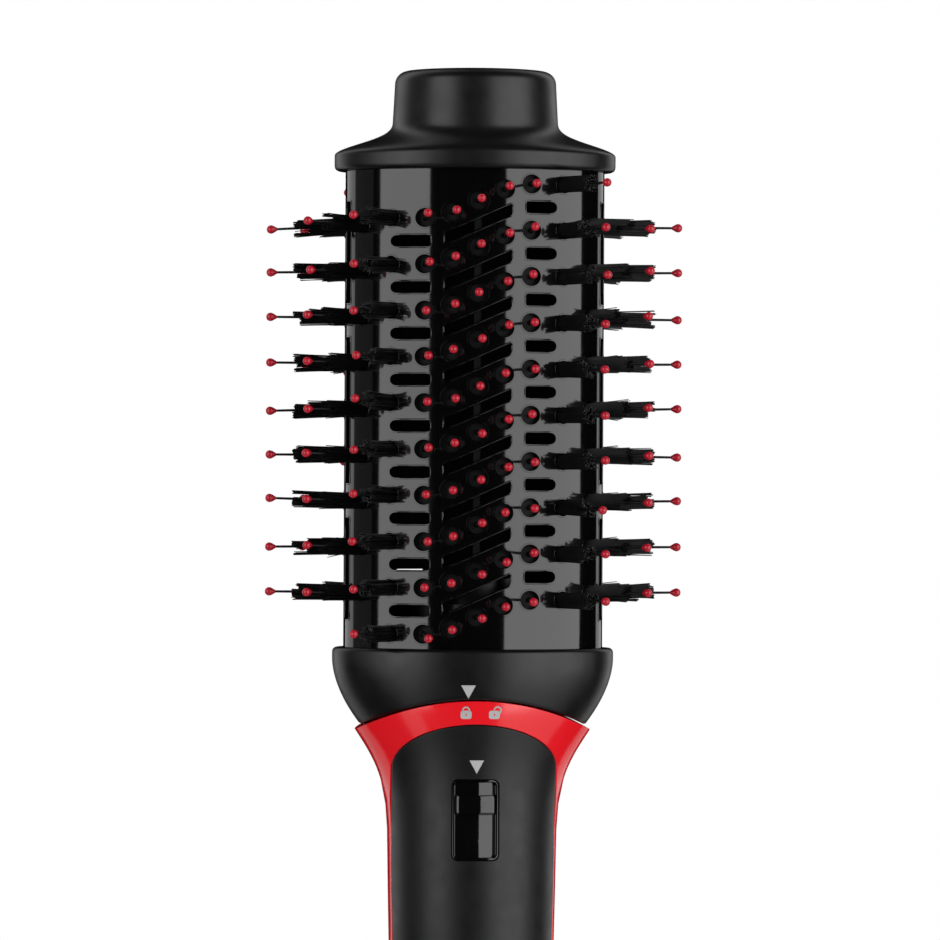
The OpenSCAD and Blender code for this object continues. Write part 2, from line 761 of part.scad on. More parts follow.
module helix(radius, wire, height, turns, sides, steps) {
    n = turns * steps;
    loft([for (k = [0:n]) let (a = 360 * k / steps, z = height * k / n)
        [for (i = [0:sides - 1]) let (t = -360 * i / sides)
            [(radius + wire * cos(t)) * cos(a), (radius + wire * cos(t)) * sin(a),
                z + wire * sin(t)]]], true);
}
module release_spring() {
    rest = spring_len - 2 * spring_wire;
    color(steel) translate([0, -(foot_in + bore_r) / 2 + 0.2, pawl_foot - spring_len + spring_wire])
        helix(spring_r, spring_wire, rest, 7, 6, 12);
}

// ---- Printed marks ----
mark_t = 0.25;
mark_sunk = 0.15;                  // printed ink keys into the surface by this much
module triangle(w, h) {
    polygon([[-w / 2, h / 2], [w / 2, h / 2], [0, -h / 2]]);
}
// Puts a flat print on the front of an oval of half width a and half depth b, at x
module print_on(a, b, x, z, lean = 0) {
    r = plump * b;
    big = (pow(a - r, 2) + b * b - r * r) / (2 * (b - r));
    translate([0, big - b, z]) rotate([90, 0, asin(x / big)]) translate([0, 0, big])
        rotate([lean, 0, 0]) translate([0, 0, -mark_sunk]) linear_extrude(mark_t) children();
}
tri_w = 3.4;
tri_h = 3.1;
mark_drop = 9.8;                   // collar's mark below the collar's top
module collar_mark() {
    a = bowl_half(mark_drop);
    slope = (bowl_half(mark_drop - 1) - bowl_half(mark_drop + 1)) * 0.3 / 2;
    color(grey) print_on(a, cap_b - (cap_a - a) * 0.3, -1.9, collar_top - mark_drop, atan(slope))
        triangle(tri_w, tri_h);
}
module padlock(open) {
    translate([0, -0.75]) square([2.6, 1.9], center = true);
    translate([open ? 1.7 : 0, 0.1]) intersection() {
        difference() {
            circle(r = 1.05, $fn = 32);
            circle(r = 0.65, $fn = 32);
        }
        translate([-2, -0.4]) square([4, 2]);
    }
}
icon_z = seam_z - 2.9;
locked_x = -2.4;
unlocked_x = 4.4;
module housing_marks() {
    color(grey) for (icon = [[locked_x, false], [unlocked_x, true]])
        print_on(yoke_half(icon_z), yoke_depth(icon_z), icon[0], icon_z) padlock(icon[1]);
}
module grip_mark() {
    z = grip_top - 9.9;
    color(grey) print_on(yoke_half(z), yoke_depth(z), 0.2, z) triangle(tri_w, tri_h);
}

// ---- Heater ----
mica_bottom = vane_z + vane_h + vane_seat;
mica_len = shelf_z - 1 - mica_bottom;
board_half = mica_r - 0.4 - 0.1;
coil_r = 9;
waist_half = coil_r - coil_wire - 0.1;
coil_z = mica_bottom + 12;
coil_len = mica_len - 34;
board_low = mica_bottom + 2;
board_len = mica_len - 4;
module mica_tube() {
    color(mica) translate([0, 0, mica_bottom]) ring(mica_r, mica_r - 0.4, mica_len);
}
module board(slot_up) {
    difference() {
        translate([-board_half, -mica_t / 2, board_low]) cube([2 * board_half, mica_t, board_len]);
        for (s = [-1, 1]) translate([s > 0 ? waist_half : -board_half - 1, -1, coil_z - 3])
            cube([board_half + 1 - waist_half, 2, coil_len + 6]);
        translate([-mica_t / 2 - 0.05, -1, slot_up ? board_low + board_len / 2 : board_low - 1])
            cube([mica_t + 0.1, 2, board_len / 2 + 1]);
    }
}
module mica_board_x() { color(mica) board(true); }
module mica_board_y() { color(mica) rotate(90) board(false); }
module heater_coil() {
    color(steel) translate([0, 0, coil_z]) helix(coil_r, coil_wire, coil_len, coil_turns, 6, 12);
}
top_parts_z = coil_z + coil_len + 4;
module thermostat() {
    color(steel) translate([mica_t / 2 + 0.4, mica_t / 2, top_parts_z]) cube([7, 3, 9]);
}
fuse_r = 1.4;
module thermal_fuse() {
    color("white") translate([-4, mica_t / 2 + fuse_r, top_parts_z]) cylinder(r = fuse_r, h = 9);
}

// ---- Fan and motor ----
module motor_case() {
    color(steel) translate([0, 0, motor_z]) difference() {
        cylinder(r = motor_r, h = motor_len);
        translate([0, 0, 1.2]) cylinder(r = motor_r - 1, h = motor_len - 2.4);
        translate([0, 0, -1]) cylinder(r = 3, h = motor_len + 2);
        for (a = [45:90:315], z = [-1, motor_len - 2]) rotate(a)
            translate([5, -2, z]) cube([5, 4, 3]);
    }
}
module motor_bushes() {
    color(copper) for (z = [motor_z, motor_top - 3.2]) translate([0, 0, z])
        ring(3, shaft_r + run, 3.2);
}
module motor_magnets() {
    color("#4b4b50") for (a = [20, 200]) translate([0, 0, motor_z + 7])
        sector(motor_r - 3.4, motor_r - 1 - run, motor_len - 14, a, a + 140);
}
module motor_rotor() {
    color(copper) union() {
        translate([0, 0, motor_z - 4]) cylinder(r = shaft_r, h = fan_z + fan_h - motor_z + 4);
        translate([0, 0, motor_z + 8]) difference() {
            cylinder(r = motor_r - 4, h = motor_len - 16);
            for (a = [0:72:288]) rotate(a) translate([motor_r - 7, -0.8, -1])
                cube([8, 1.6, motor_len]);
        }
        translate([0, 0, motor_z + 4.2]) cylinder(r = 3.4, h = 4);
    }
}
module impeller() {
    color(black) translate([0, 0, fan_z]) difference() {
        union() {
            cylinder(r = fan_r, h = 1.4);
            cylinder(r = 3.4, h = fan_h);
            for (i = [0:blades - 1]) rotate(360 * i / blades)
                translate([3, -0.5, 0]) rotate(14) cube([fan_r - 4.2, 1, fan_h - 1]);
        }
        translate([0, 0, -1]) cylinder(r = shaft_r, h = fan_h + 2);
        for (i = [0:5]) rotate(30 + 60 * i) translate([fan_r - 4, 0, -1]) cylinder(r = 1, h = 1);
    }
}
module stator_vanes() {
    color(black) translate([0, 0, vane_z]) union() {
        ring(bore_r - snug, bore_r - 1.6, vane_h + vane_seat + 4);
        cylinder(r = 4, h = vane_h);
        for (i = [0:8]) rotate(40 * i) translate([3.5, -0.6, 0]) cube([bore_r - 4.6, 1.2, vane_h]);
        translate([0, 0, vane_h - 0.5]) ring(bore_r - 1, mica_r - 1.6, vane_seat + 0.5);
    }
}
module motor_mount() {
    color(black) for (z = [motor_z + 3, motor_top - 6]) translate([0, 0, z]) difference() {
        ring(bore_r - 0.1, motor_r + run, 3);
        for (a = [0:45:315]) rotate(a) translate([bore_r - 0.5, 0, -1]) cylinder(r = 0.9, h = 5);
    }
}
board_z = neck_top + 3.5;
module circuit_board() {
    color("#2f6b3c") translate([0, 0, board_z]) difference() {
        cylinder(r = bore_r - snug, h = 1.6);
        translate([0, 0, -1]) cylinder(r = 5, h = 4);
        for (a = [60:120:300]) rotate(a) translate([bore_r - 1, 0, -1]) cylinder(r = 3.4, h = 4);
    }
}
module board_parts() {
    color("#333333") translate([0, 0, board_z + 1.6]) union() {
        for (x = [-9, -6.4, 6.4, 9]) translate([x, -3, 0]) cube([1.6, 6, 2.4]);
    }
}

// ---- Dial and switch ----
finger_z = dial_z + 5;
finger_h = 4;
finger_half = 6;
finger_from = -150;
finger_in = dial_neck_r - 5;
ribs = 36;
module setting_dial() {
    color(black) translate([0, 0, dial_z]) union() {
        difference() {
            cylinder(r = dial_r, h = dial_h);
            translate([0, 0, -1]) cylinder(r = dial_neck_r + run, h = dial_h + 2);
            for (i = [0:ribs - 1]) rotate(360 * (i + 0.5) / ribs)
                translate([dial_r + 0.5, 0, 3]) cylinder(r = 1, h = dial_h - 6, $fn = 24);
        }
        translate([0, 0, finger_z - dial_z]) sector(finger_in, dial_neck_r + 1, finger_h,
            finger_from - finger_half, finger_from + finger_half);
    }
}
module dial_marks() {
    color(grey) for (i = [0:3]) rotate(-90 - i * dial_turn / 3)
        translate([dial_r, 0, dial_z + 1.5]) rotate([90, 0, 90]) linear_extrude(mark_t)
            square([1.2, 1.6], center = true);
}
module switch_track() {
    color("#3a3a3a") translate([0, 0, finger_z - 2.2]) difference() {
        sector(finger_in - 3, dial_neck_r - 1.7 - snug, 1.6,
            finger_from - 12, finger_from + dial_turn + 12);
        for (i = [0:3]) rotate(finger_from + i * dial_turn / 3)
            translate([finger_in + 1.4, 0, 1]) cylinder(r = 0.8, h = 2);
    }
}

// ---- Base ----
base_r = 18.8;
base_foot_r = 17.6;
base_wall = 1.8;
grille_t = 2;
module base_cap() {
    color(black) difference() {
        union() {
            difference() {
                rotate_extrude() polygon([[0, 0], [base_foot_r - 1, 0], [base_foot_r, 1],
                    [base_r, base_h - 3], [base_r, base_h - 0.6], [base_r - 0.6, base_h], [0, base_h]]);
                translate([0, 0, grille_t]) cylinder(r = base_foot_r - base_wall, h = base_h);
                translate([0, 0, base_h - 4 - snug]) cylinder(r = dial_neck_r + snug, h = 10);
            }
            for (a = base_screw_angles) rotate(a) translate([base_screw_at, 0, 0])
                cylinder(r = 3.2, h = base_h - 4 - snug);
        }
        for (a = base_screw_angles) rotate(a) translate([base_screw_at, 0, -1]) {
            cylinder(r = screw_head_r + 0.2, h = base_h - 8);
            cylinder(r = screw_r + 0.2, h = base_h);
        }
        translate([0, 0, -1]) cylinder(r = swivel_r + run, h = grille_t + 2);
        for (i = [0:23]) if (abs(sin(15 * i)) > 0.3) rotate(15 * i)
            translate([swivel_r + 2.4, -0.7, -1]) cube([base_foot_r - 4.6 - swivel_r, 1.4, grille_t + 2]);
        for (i = [0:23]) if (abs(sin(15 * i + 7.5)) > 0.3) rotate(15 * i + 7.5)
            translate([base_foot_r - 4, -0.7, 5]) cube([8, 1.4, 7.5]);
    }
}
slip_t = 0.6;
block_y = swivel_r + 1.2 + gap;
module filter_mesh() {
    color("#5a5a5a") translate([0, 0, grille_t]) difference() {
        ring(base_foot_r - base_wall - snug, swivel_r + 1.6, 1.2);
        for (a = base_screw_angles) rotate(a) translate([base_screw_at, 0, -1])
            cylinder(r = 3.4, h = 4);
        translate([-2.8, 0, -1]) cube([5.6, block_y + 3.3, 4]);
    }
}
module base_screws() {
    color(steel) for (a = base_screw_angles) rotate(a) translate([base_screw_at, 0, base_h - 9])
        mirror([0, 0, 1]) screw(1.6, 11.5);
}
module cord_swivel() {
    color(black) difference() {
        union() {
            translate([0, 0, 0.4]) cylinder(r = swivel_r, h = 13);
            translate([0, 0, grille_t + 0.1]) cylinder(r = swivel_r + 1.2, h = 2);
        }
        translate([0, 0, -1]) cylinder(r = cord_r, h = 16);
    }
}
slip_z = [6, 9.5];
module slip_rings() {
    color(copper) for (z = slip_z) translate([0, 0, z]) ring(swivel_r + slip_t, swivel_r, 1.6);
}
module contact_block() {
    color("#3a3a3a") union() {
        translate([-2.5, block_y, grille_t]) cube([5, 3, 10.5]);
        for (z = slip_z) translate([-1.5, swivel_r + slip_t + gap, z + 0.4])
            cube([3, 1.5, 0.8]);
    }
}

tip_cap();
barrel_sleeve();
front_pin_plate();
back_pin_plate();
left_pin_plate();
right_pin_plate();
front_pins();
back_pins();
left_pins();
right_pins();
front_pin_tips();
back_pin_tips();
left_pin_tips();
right_pin_tips();
front_tufts();
back_tufts();
left_tufts();
right_tufts();
air_core();
collar();
collar_mark();
head_screws();
bayonet_ring();
head_seal();
front_housing();
back_housing();
front_grip();
back_grip();
housing_marks();
grip_mark();
slide_tray();
release_slide();
release_pawl();
release_spring();
spigot();
outlet_grille();
mica_tube();
mica_board_x();
mica_board_y();
heater_coil();
thermostat();
thermal_fuse();
stator_vanes();
impeller();
motor_case();
motor_magnets();
motor_rotor();
motor_bushes();
motor_mount();
circuit_board();
board_parts();
switch_track();
setting_dial();
dial_marks();
base_cap();
filter_mesh();
base_screws();
cord_swivel();
slip_rings();
contact_block();
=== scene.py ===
"""Hot-air styling brush, dressed round its solid model: an oval vented head on a flared handle."""
import json
import math

import bmesh
import bpy
import numpy as np
from mathutils import Matrix, Vector

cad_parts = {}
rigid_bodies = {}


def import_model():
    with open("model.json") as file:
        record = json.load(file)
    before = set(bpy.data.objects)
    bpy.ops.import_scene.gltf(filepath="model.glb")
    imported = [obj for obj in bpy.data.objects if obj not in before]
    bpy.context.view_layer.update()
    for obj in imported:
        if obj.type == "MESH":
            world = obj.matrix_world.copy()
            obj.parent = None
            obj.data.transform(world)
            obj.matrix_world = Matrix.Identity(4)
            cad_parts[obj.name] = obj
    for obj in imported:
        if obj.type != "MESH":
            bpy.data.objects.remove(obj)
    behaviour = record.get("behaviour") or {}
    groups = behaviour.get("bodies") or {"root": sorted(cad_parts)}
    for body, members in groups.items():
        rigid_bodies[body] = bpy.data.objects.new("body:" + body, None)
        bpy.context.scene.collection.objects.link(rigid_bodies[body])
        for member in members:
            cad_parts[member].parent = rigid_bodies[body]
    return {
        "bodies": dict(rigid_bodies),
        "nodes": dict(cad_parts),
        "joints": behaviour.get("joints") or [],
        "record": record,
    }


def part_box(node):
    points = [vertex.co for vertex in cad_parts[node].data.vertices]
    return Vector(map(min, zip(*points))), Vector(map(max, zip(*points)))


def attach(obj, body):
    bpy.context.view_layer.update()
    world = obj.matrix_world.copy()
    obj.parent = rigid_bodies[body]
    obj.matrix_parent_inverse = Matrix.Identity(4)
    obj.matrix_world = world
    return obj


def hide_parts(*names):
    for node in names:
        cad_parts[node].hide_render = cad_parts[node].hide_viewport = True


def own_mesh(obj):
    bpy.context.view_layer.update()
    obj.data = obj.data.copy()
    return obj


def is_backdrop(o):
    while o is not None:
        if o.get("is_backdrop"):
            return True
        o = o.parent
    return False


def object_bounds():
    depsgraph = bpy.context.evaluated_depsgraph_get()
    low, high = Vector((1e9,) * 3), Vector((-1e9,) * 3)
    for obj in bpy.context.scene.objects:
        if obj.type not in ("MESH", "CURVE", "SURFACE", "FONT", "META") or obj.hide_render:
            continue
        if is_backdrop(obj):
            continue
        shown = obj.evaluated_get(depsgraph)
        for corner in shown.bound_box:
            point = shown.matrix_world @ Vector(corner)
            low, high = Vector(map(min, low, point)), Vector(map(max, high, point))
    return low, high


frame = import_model()
CAD_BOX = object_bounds()

bl_info = {
    "name": "Hot-air styling brush",
    "version": (1, 0, 0),
    "blender": (4, 5, 0),
    "location": "3D View > Sidebar > Styling brush",
    "description": "Builds a hot-air styling brush round its solid model",
    "category": "Object",
}

MM = 0.001
ROUND = 360.0


def box_mm(node):
    """Lowest and highest corner of a node of the solid model, in millimetres."""
    low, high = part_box(node)
    return np.array(low) / MM, np.array(high) / MM


BARREL_HIGH = box_mm("barrel_sleeve")[1]
CAP_LOW, CAP_HIGH = box_mm("tip_cap")
COLLAR_HIGH = box_mm("collar")[1]
GRIP_LOW, GRIP_HIGH = box_mm("front_grip")
TRAY_LOW, TRAY_HIGH = box_mm("slide_tray")
SLIDE_LOW, SLIDE_HIGH = box_mm("release_slide")


# ---- Sizes and colours that a user would change ----
def length_property(name, text, value):
    """A length in millimetres."""
    return bpy.props.FloatProperty(name=name, description=text, default=value, min=0.0)


def colour_property(name, text, value):
    """A colour as an sRGB hex value."""
    return bpy.props.StringProperty(name=name, description=text, default=value)


class HeadSizes(bpy.types.PropertyGroup):
    """Sizes of the oval head and its bristles, in millimetres."""

    side_round: length_property("Side radius", "Radius of the barrel's narrow sides", 15.0)
    rows: bpy.props.IntProperty(name="Rows", description="Rows of bristles", default=10, min=2)
    pitch: length_property("Row pitch", "Distance from row to row", 10.76)
    swing: length_property("Row swing", "How far a row bends towards the sides", 4.0)
    pin_gap: length_property("Pin gap", "Distance between bare pins", 6.2)
    pin_reach: length_property("Pin reach", "From the skin to the centre of a ball", 17.5)
    ball: length_property("Ball radius", "Radius of the ball on a pin", 1.0)
    tuft_reach: length_property("Tuft reach", "From the skin to a tuft's end", 12.3)
    tuft: length_property("Tuft radius", "Radius of a tuft at its foot", 1.9)
    filaments: bpy.props.IntProperty(name="Filaments", description="Filaments in one tuft",
                                     default=110, min=8)
    hole: length_property("Air hole radius", "Radius of the hole round a bare pin", 2.38)
    bead: length_property("Edge radius", "Radius of the rolled edge round a hole", 0.27)


class HandleSizes(bpy.types.PropertyGroup):
    """Sizes of the handle, in millimetres."""

    grip: length_property("Grip radius", "Radius of the handle at its top", 19.8)
    waist: length_property("Waist", "Depth of the waist in the handle", 1.0)
    flare: length_property("Flare", "How far the yoke flares to each side at the seam", 11.2)
    flare_deep: length_property("Flare depth", "How far the yoke deepens at the seam", 2.0)
    flare_length: length_property("Flare length", "Length over which the flare fades", 13.8)
    stripe: length_property("Stripe", "Half width of the red stripe on each side", 5.0)
    arch: length_property("Arch", "Height of the arch over a grip", 10.5)
    seam: length_property("Seam radius", "Radius of the arched seam", 57.0)
    seam_gap: length_property("Seam gap", "Gap between collar and handle", 0.35)


class BrushColours(bpy.types.PropertyGroup):
    """Colours of the finishes, as sRGB hex values."""

    satin: colour_property("Satin black", "Moulded cap and collar", "#0a0a0b")
    barrel: colour_property("Barrel", "Glossy barrel coating", "#060607")
    gloss: colour_property("Gloss black", "Slide and its tray", "#070708")
    red: colour_property("Red", "Glossy red housing", "#d8141f")
    ball: colour_property("Ball red", "Dipped ball tips", "#a81126")
    nylon: colour_property("Nylon", "Pins and tufts", "#0b0b0c")
    grip: colour_property("Grip", "Soft-touch grips", "#0b0b0c")
    mark: colour_property("Marks", "Printed marks", "#a0a0a0")


def head():
    """The head's sizes."""
    return bpy.context.scene.brush_head


def handle():
    """The handle's sizes."""
    return bpy.context.scene.brush_handle


def hue(name):
    """One of the brush's colours, as a linear RGBA tuple."""
    return linear(getattr(bpy.context.scene.brush_colours, name))


# ---- Finishes ----
def linear(code):
    """sRGB hex value to linear RGBA: c/12.92 below 0.04045, else ((c + 0.055)/1.055)^2.4."""
    values = [int(code[i:i + 2], 16) / 255 for i in (1, 3, 5)]
    return tuple(v / 12.92 if v <= 0.04045 else ((v + 0.055) / 1.055) ** 2.4 for v in values) + (1.0,)


def add_node(tree, kind, links=None, **settings):
    """Adds a node, sets its properties or sockets and links its sockets to other nodes' outputs."""
    made = tree.nodes.new(kind)
    for key, value in settings.items():
        if hasattr(made, key):
            setattr(made, key, value)
    for socket, value in (links or {}).items():
        if isinstance(value, bpy.types.NodeSocket):
            tree.links.new(value, made.inputs[socket])
        else:
            made.inputs[socket].default_value = value
    return made


def new_finish(name):
    """An empty material with its tree, shader and object coordinates in millimetres."""
    made = bpy.data.materials.new(name)
    made.use_nodes = True
    tree = made.node_tree
    tree.nodes.clear()
    place = add_node(tree, "ShaderNodeTexCoord").outputs["Object"]
    scale = add_node(tree, "ShaderNodeMapping", {"Vector": place, "Scale": (1 / MM,) * 3})
    return made, tree, scale.outputs["Vector"]


def noise(tree, place, size, detail=2.0, **links):
    """Noise whose grains are about size millimetres across."""
    return add_node(tree, "ShaderNodeTexNoise",
                    {"Vector": place, "Scale": 1 / size, "Detail": detail, **links}).outputs["Fac"]


def spread(tree, value, low, high):
    """Maps a noise value onto the range from low to high."""
    return add_node(tree, "ShaderNodeMapRange", {"Value": value, "From Min": 0.3, "From Max": 0.7,
                                                 "To Min": low, "To Max": high}).outputs["Result"]


def close_finish(tree, shader):
    """Links the shader to the material's output."""
    add_node(tree, "ShaderNodeOutputMaterial", {"Surface": shader.outputs[0]})


def moulded_plastic(name, colour, rough, grain_mm, grain_depth, wave_depth=0.0, tone=0.12, **shader):
    """Moulded thermoplastic: a spark-eroded grain of grain_mm, slow flow waves and a drifting tone."""
    made, tree, place = new_finish(name)
    drift = noise(tree, place, 9.0)
    tones = [tuple(c * (1 + side * tone) for c in colour[:3]) + (1.0,) for side in (-1, 1)]
    mixed = add_node(tree, "ShaderNodeMix", data_type="RGBA")
    tree.links.new(drift, mixed.inputs[0])
    mixed.inputs[6].default_value, mixed.inputs[7].default_value = tones
    grain = noise(tree, place, grain_mm, 3.0)
    bump = add_node(tree, "ShaderNodeBump", {"Height": grain, "Distance": grain_depth * MM,
                                             "Strength": 1.0})
    if wave_depth:
        bump = add_node(tree, "ShaderNodeBump", {"Height": noise(tree, place, 14.0, 1.0),
                                                 "Distance": wave_depth * MM,
                                                 "Normal": bump.outputs["Normal"]})
    close_finish(tree, add_node(tree, "ShaderNodeBsdfPrincipled", {
        "Base Color": mixed.outputs[2],
        "Roughness": spread(tree, noise(tree, place, 4.0), rough * 0.9, rough * 1.1),
        "Normal": bump.outputs["Normal"], **shader}))
    return made


def satin_abs():
    """Spark-eroded ABS of cap and collar: a fine even grain that spreads highlights into soft bands."""
    return moulded_plastic("satin_abs", hue("satin"), 0.36, 0.28, 0.006, **{"Specular IOR Level": 0.4})


def glazed_coating():
    """Hard glossy coating on the barrel: near-black and mirror-like, a trace of waviness from spraying."""
    return moulded_plastic("glazed_barrel_coating", hue("barrel"), 0.07, 0.8, 0.0006, 0.004, IOR=1.56)


def polished_abs():
    """Polished black ABS of the release slide: mirror-like reflections with crisp borders."""
    return moulded_plastic("polished_black_abs", hue("gloss"), 0.06, 0.8, 0.0005, IOR=1.54)


def red_abs():
    """Polished red ABS of the housing: saturated pigment under a clear gloss with broad soft reflections."""
    return moulded_plastic("polished_red_abs", hue("red"), 0.16, 0.9, 0.001, 0.006, 0.05, IOR=1.54)


def dipped_balls():
    """Epoxy-dipped ball tips: slightly soft red bodies with one small bright highlight."""
    return moulded_plastic("dipped_epoxy_red", hue("ball"), 0.24, 0.5, 0.002, 0.0, 0.08, IOR=1.5)


def drawn_nylon():
    """Drawn nylon of pins and filaments: black with a thin soft sheen along each strand."""
    return moulded_plastic("drawn_black_nylon", hue("nylon"), 0.38, 0.3, 0.004, IOR=1.53)


def soft_touch():
    """Soft-touch skin of the grips: a fine elastomer grain, matte with a faint velvety edge."""
    return moulded_plastic("soft_touch_skin", hue("grip"), 0.42, 0.34, 0.008,
                           **{"Specular IOR Level": 0.4, "Sheen Weight": 0.02, "Sheen Roughness": 0.5})


def shade_darkened_nylon():
    """Glass-filled nylon of the frame and pin plates inside the barrel, rough and dull; its near-black colour,
    darker than the pins' nylon, is painted shade that keeps the air holes dark inside.
    """
    # Near-black colour: painted shade inside the air holes.
    return moulded_plastic("shade_darkened_inner_nylon", linear("#040404"), 0.75, 0.4, 0.01, IOR=1.45)


def pad_ink():
    """Pad-printed grey ink: flat and opaque, a little uneven in cover."""
    return moulded_plastic("pad_printed_ink", hue("mark"), 0.6, 0.2, 0.003, 0.0, 0.04)


def rubber():
    """Silicone rubber of seal and mounts: matte and dark."""
    return moulded_plastic("silicone_rubber", linear("#1c1c1d"), 0.65, 0.5, 0.01)


def plated_steel():
    """Zinc-plated steel of screws, spring and mesh: bright with fine brushed scatter."""
    return moulded_plastic("zinc_plated_steel", linear("#b4b7bb"), 0.32, 0.3, 0.004, 0.0, 0.08,
                           Metallic=1.0)


def bare_copper():
    """Bare copper and bronze of windings and bushes: warm metal with a dull bloom."""
    return moulded_plastic("bare_copper", linear("#b3673a"), 0.36, 0.4, 0.004, 0.0, 0.15, Metallic=1.0)


def mica_sheet():
    """Pressed mica board: pale amber flakes with a pearly gloss."""
    return moulded_plastic("pressed_mica", linear("#c8b283"), 0.4, 1.6, 0.01, 0.0, 0.25)


def board_laminate():
    """Glass-epoxy laminate and moulded switch parts: dark green with a solder-mask gloss."""
    return moulded_plastic("board_laminate", linear("#1f5a30"), 0.35, 0.6, 0.004, 0.0, 0.15)


def white_ceramic():
    """Glazed ceramic of the fuse body: off-white."""
    return moulded_plastic("glazed_ceramic", linear("#e6e4de"), 0.3, 0.8, 0.003, 0.0, 0.04)


MADE_FINISHES = {}


def finish(make):
    """The material that a finish function makes, made once."""
    if make.__name__ not in MADE_FINISHES:
        MADE_FINISHES[make.__name__] = make()
    return MADE_FINISHES[make.__name__]


# ---- Meshes from grids ----
def grid_quads(rows, columns, wrap_rows=False, wrap_columns=False):
    """Quads of a rows by columns grid of points: (i, j), (i, j + 1), (i + 1, j + 1), (i + 1, j)."""
    i = np.arange(rows if wrap_rows else rows - 1)[:, None]
    j = np.arange(columns if wrap_columns else columns - 1)[None, :]
    i2, j2 = (i + 1) % rows, (j + 1) % columns
    return np.stack([i * columns + j, i * columns + j2, i2 * columns + j2, i2 * columns + j],
                    -1).reshape(-1, 4)


def repeated(faces, copies, size):
    """Faces of a grid of size points, repeated for each of its copies."""
    return (np.arange(copies)[:, None, None] * size + faces[None]).reshape(-1, faces.shape[1])


def joined(parts):
    """Points and faces of several grids as one: each grid's corners count on from the last one's."""
    points, faces, start = [], [], 0
    for grid, quads in parts:
        points.append(grid.reshape(-1, 3))
        faces.append(quads + start)
        start += len(points[-1])
    return np.concatenate(points), np.concatenate(faces)


def mesh_of(name, points, faces, unit=MM):
    """A mesh in metres from points in the given unit and lists of corners."""
    mesh = bpy.data.meshes.new(name)
    mesh.from_pydata((points.reshape(-1, 3) * unit).tolist(), [], faces)
    return mesh


def cleaned(mesh, merge=0.0, thin=0.0, outward=True):
    """Merges points nearer than merge, dissolves edges shorter than thin, and turns the faces outwards."""
    work = bmesh.new()
    work.from_mesh(mesh)
    if merge:
        bmesh.ops.remove_doubles(work, verts=work.verts, dist=merge)
    if thin:
        bmesh.ops.dissolve_degenerate(work, edges=work.edges, dist=thin)
    if outward:
        bmesh.ops.recalc_face_normals(work, faces=work.faces)
    work.to_mesh(mesh)
    work.free()
    return mesh


def add_object(name, data):
    """A new object in the scene."""
    made = bpy.data.objects.new(name, data)
    bpy.context.scene.collection.objects.link(made)
    return made


def new_piece(name, points, quads, make, body, slot, nodes=(), crease=35.0):
    """A piece from points in millimetres and quads, with its doubles merged and its faces outwards."""
    mesh = cleaned(mesh_of(name, points, quads.tolist()), merge=2e-6, thin=1e-7)
    return dress(name, mesh, make, body, slot, nodes, crease)


def dress(name, mesh, make, body, slot, nodes=(), crease=35.0):
    """Makes a mesh a piece: smooth up to the crease angle, with finish, body and replaced nodes; the slot is
    not used.
    """
    mesh.shade_smooth()
    mesh.set_sharp_from_angle(angle=math.radians(crease))
    mesh.materials.clear()
    mesh.materials.append(finish(make))
    piece = add_object(name, mesh)
    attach(piece, body)
    if nodes:
        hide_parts(*nodes)
    return piece


def smooth_copy(node, make, body, slot, crease=32.0):
    """A piece that stands for a node of the same shape, with smooth shading over its curved faces."""
    mesh = cleaned(frame["nodes"][node].data.copy(), merge=1e-6, outward=False)
    return dress(node + "_skin", mesh, make, body, slot, (node,), crease)


def give(make, *nodes):
    """Gives nodes of the solid model a finish."""
    for node in nodes:
        held = frame["nodes"][node].data
        held.materials.clear()
        held.materials.append(finish(make))


def cosd(angle):
    """Cosine of degrees."""
    return np.cos(np.radians(angle))


def sind(angle):
    """Sine of degrees."""
    return np.sin(np.radians(angle))


def oval(a, b, angle, side=None):
    """Four-centre oval of half width a and half depth b at an angle from +X.

    Side arcs of radius r about (+-(a - r), 0) meet broad arcs of radius R about (0, -+(R - b)),
    with R = ((a - r)^2 + b^2 - r^2) / (2 (b - r)), at the angle atan2(R - b, a - r)."""
    a, b, angle = np.broadcast_arrays(np.asarray(a, float), np.asarray(b, float), angle)
    r = 0.73 * b if side is None else np.full_like(a, side)
    broad = ((a - r) ** 2 + b * b - r * r) / (2 * (b - r))
    c, s = cosd(angle), sind(angle)
    on_side = np.abs(c) >= np.cos(np.arctan2(broad - b, a - r)) - 1e-9
    x = np.where(on_side, np.sign(c) * (a - r) + r * c, broad * c)
    y = np.where(on_side, r * s, broad * s - np.sign(s) * (broad - b))
    return x, y


def stack(x, y, z):
    """Points from coordinate arrays."""
    return np.stack(np.broadcast_arrays(x, y, z), -1)


# ---- Cap and collar ----
HALF_W = BARREL_HIGH[0]
HALF_D = BARREL_HIGH[1]
CAP_A = CAP_HIGH[0]
CAP_B = CAP_HIGH[1]
TOP = CAP_HIGH[2]
FLANGE = CAP_LOW[2]
COLLAR_TOP = COLLAR_HIGH[2]
AROUND = np.linspace(0.0, ROUND, 193)[:-1][None, :]


NECK_W, NECK_D, NECK_DRAFT = 18.8, 19.1, 0.055
NECK_LENGTH, CAP_FLARE_START, CAP_FLARE_LENGTH = 12.0, 11.5, 8.4
CAP_EDGE = 2.8
LEDGE = 2.0
SEAT_GAP = 0.35


def barrel_seat():
    """Outline round the barrel's ends, SEAT_GAP clear of it."""
    return oval(HALF_W + SEAT_GAP, HALF_D + SEAT_GAP, AROUND, head().side_round + SEAT_GAP)


def cap_half(drop):
    """Half width of the cap below its tip: a drafted neck, then neck + (A - neck)(1 - cos(180 t^1.5)) / 2."""
    neck = NECK_W + NECK_DRAFT * np.minimum(drop, NECK_LENGTH)
    t = np.clip((drop - CAP_FLARE_START) / CAP_FLARE_LENGTH, 0, 1)
    return neck + (CAP_A - neck) * (1 - cosd(180 * t ** 1.5)) / 2


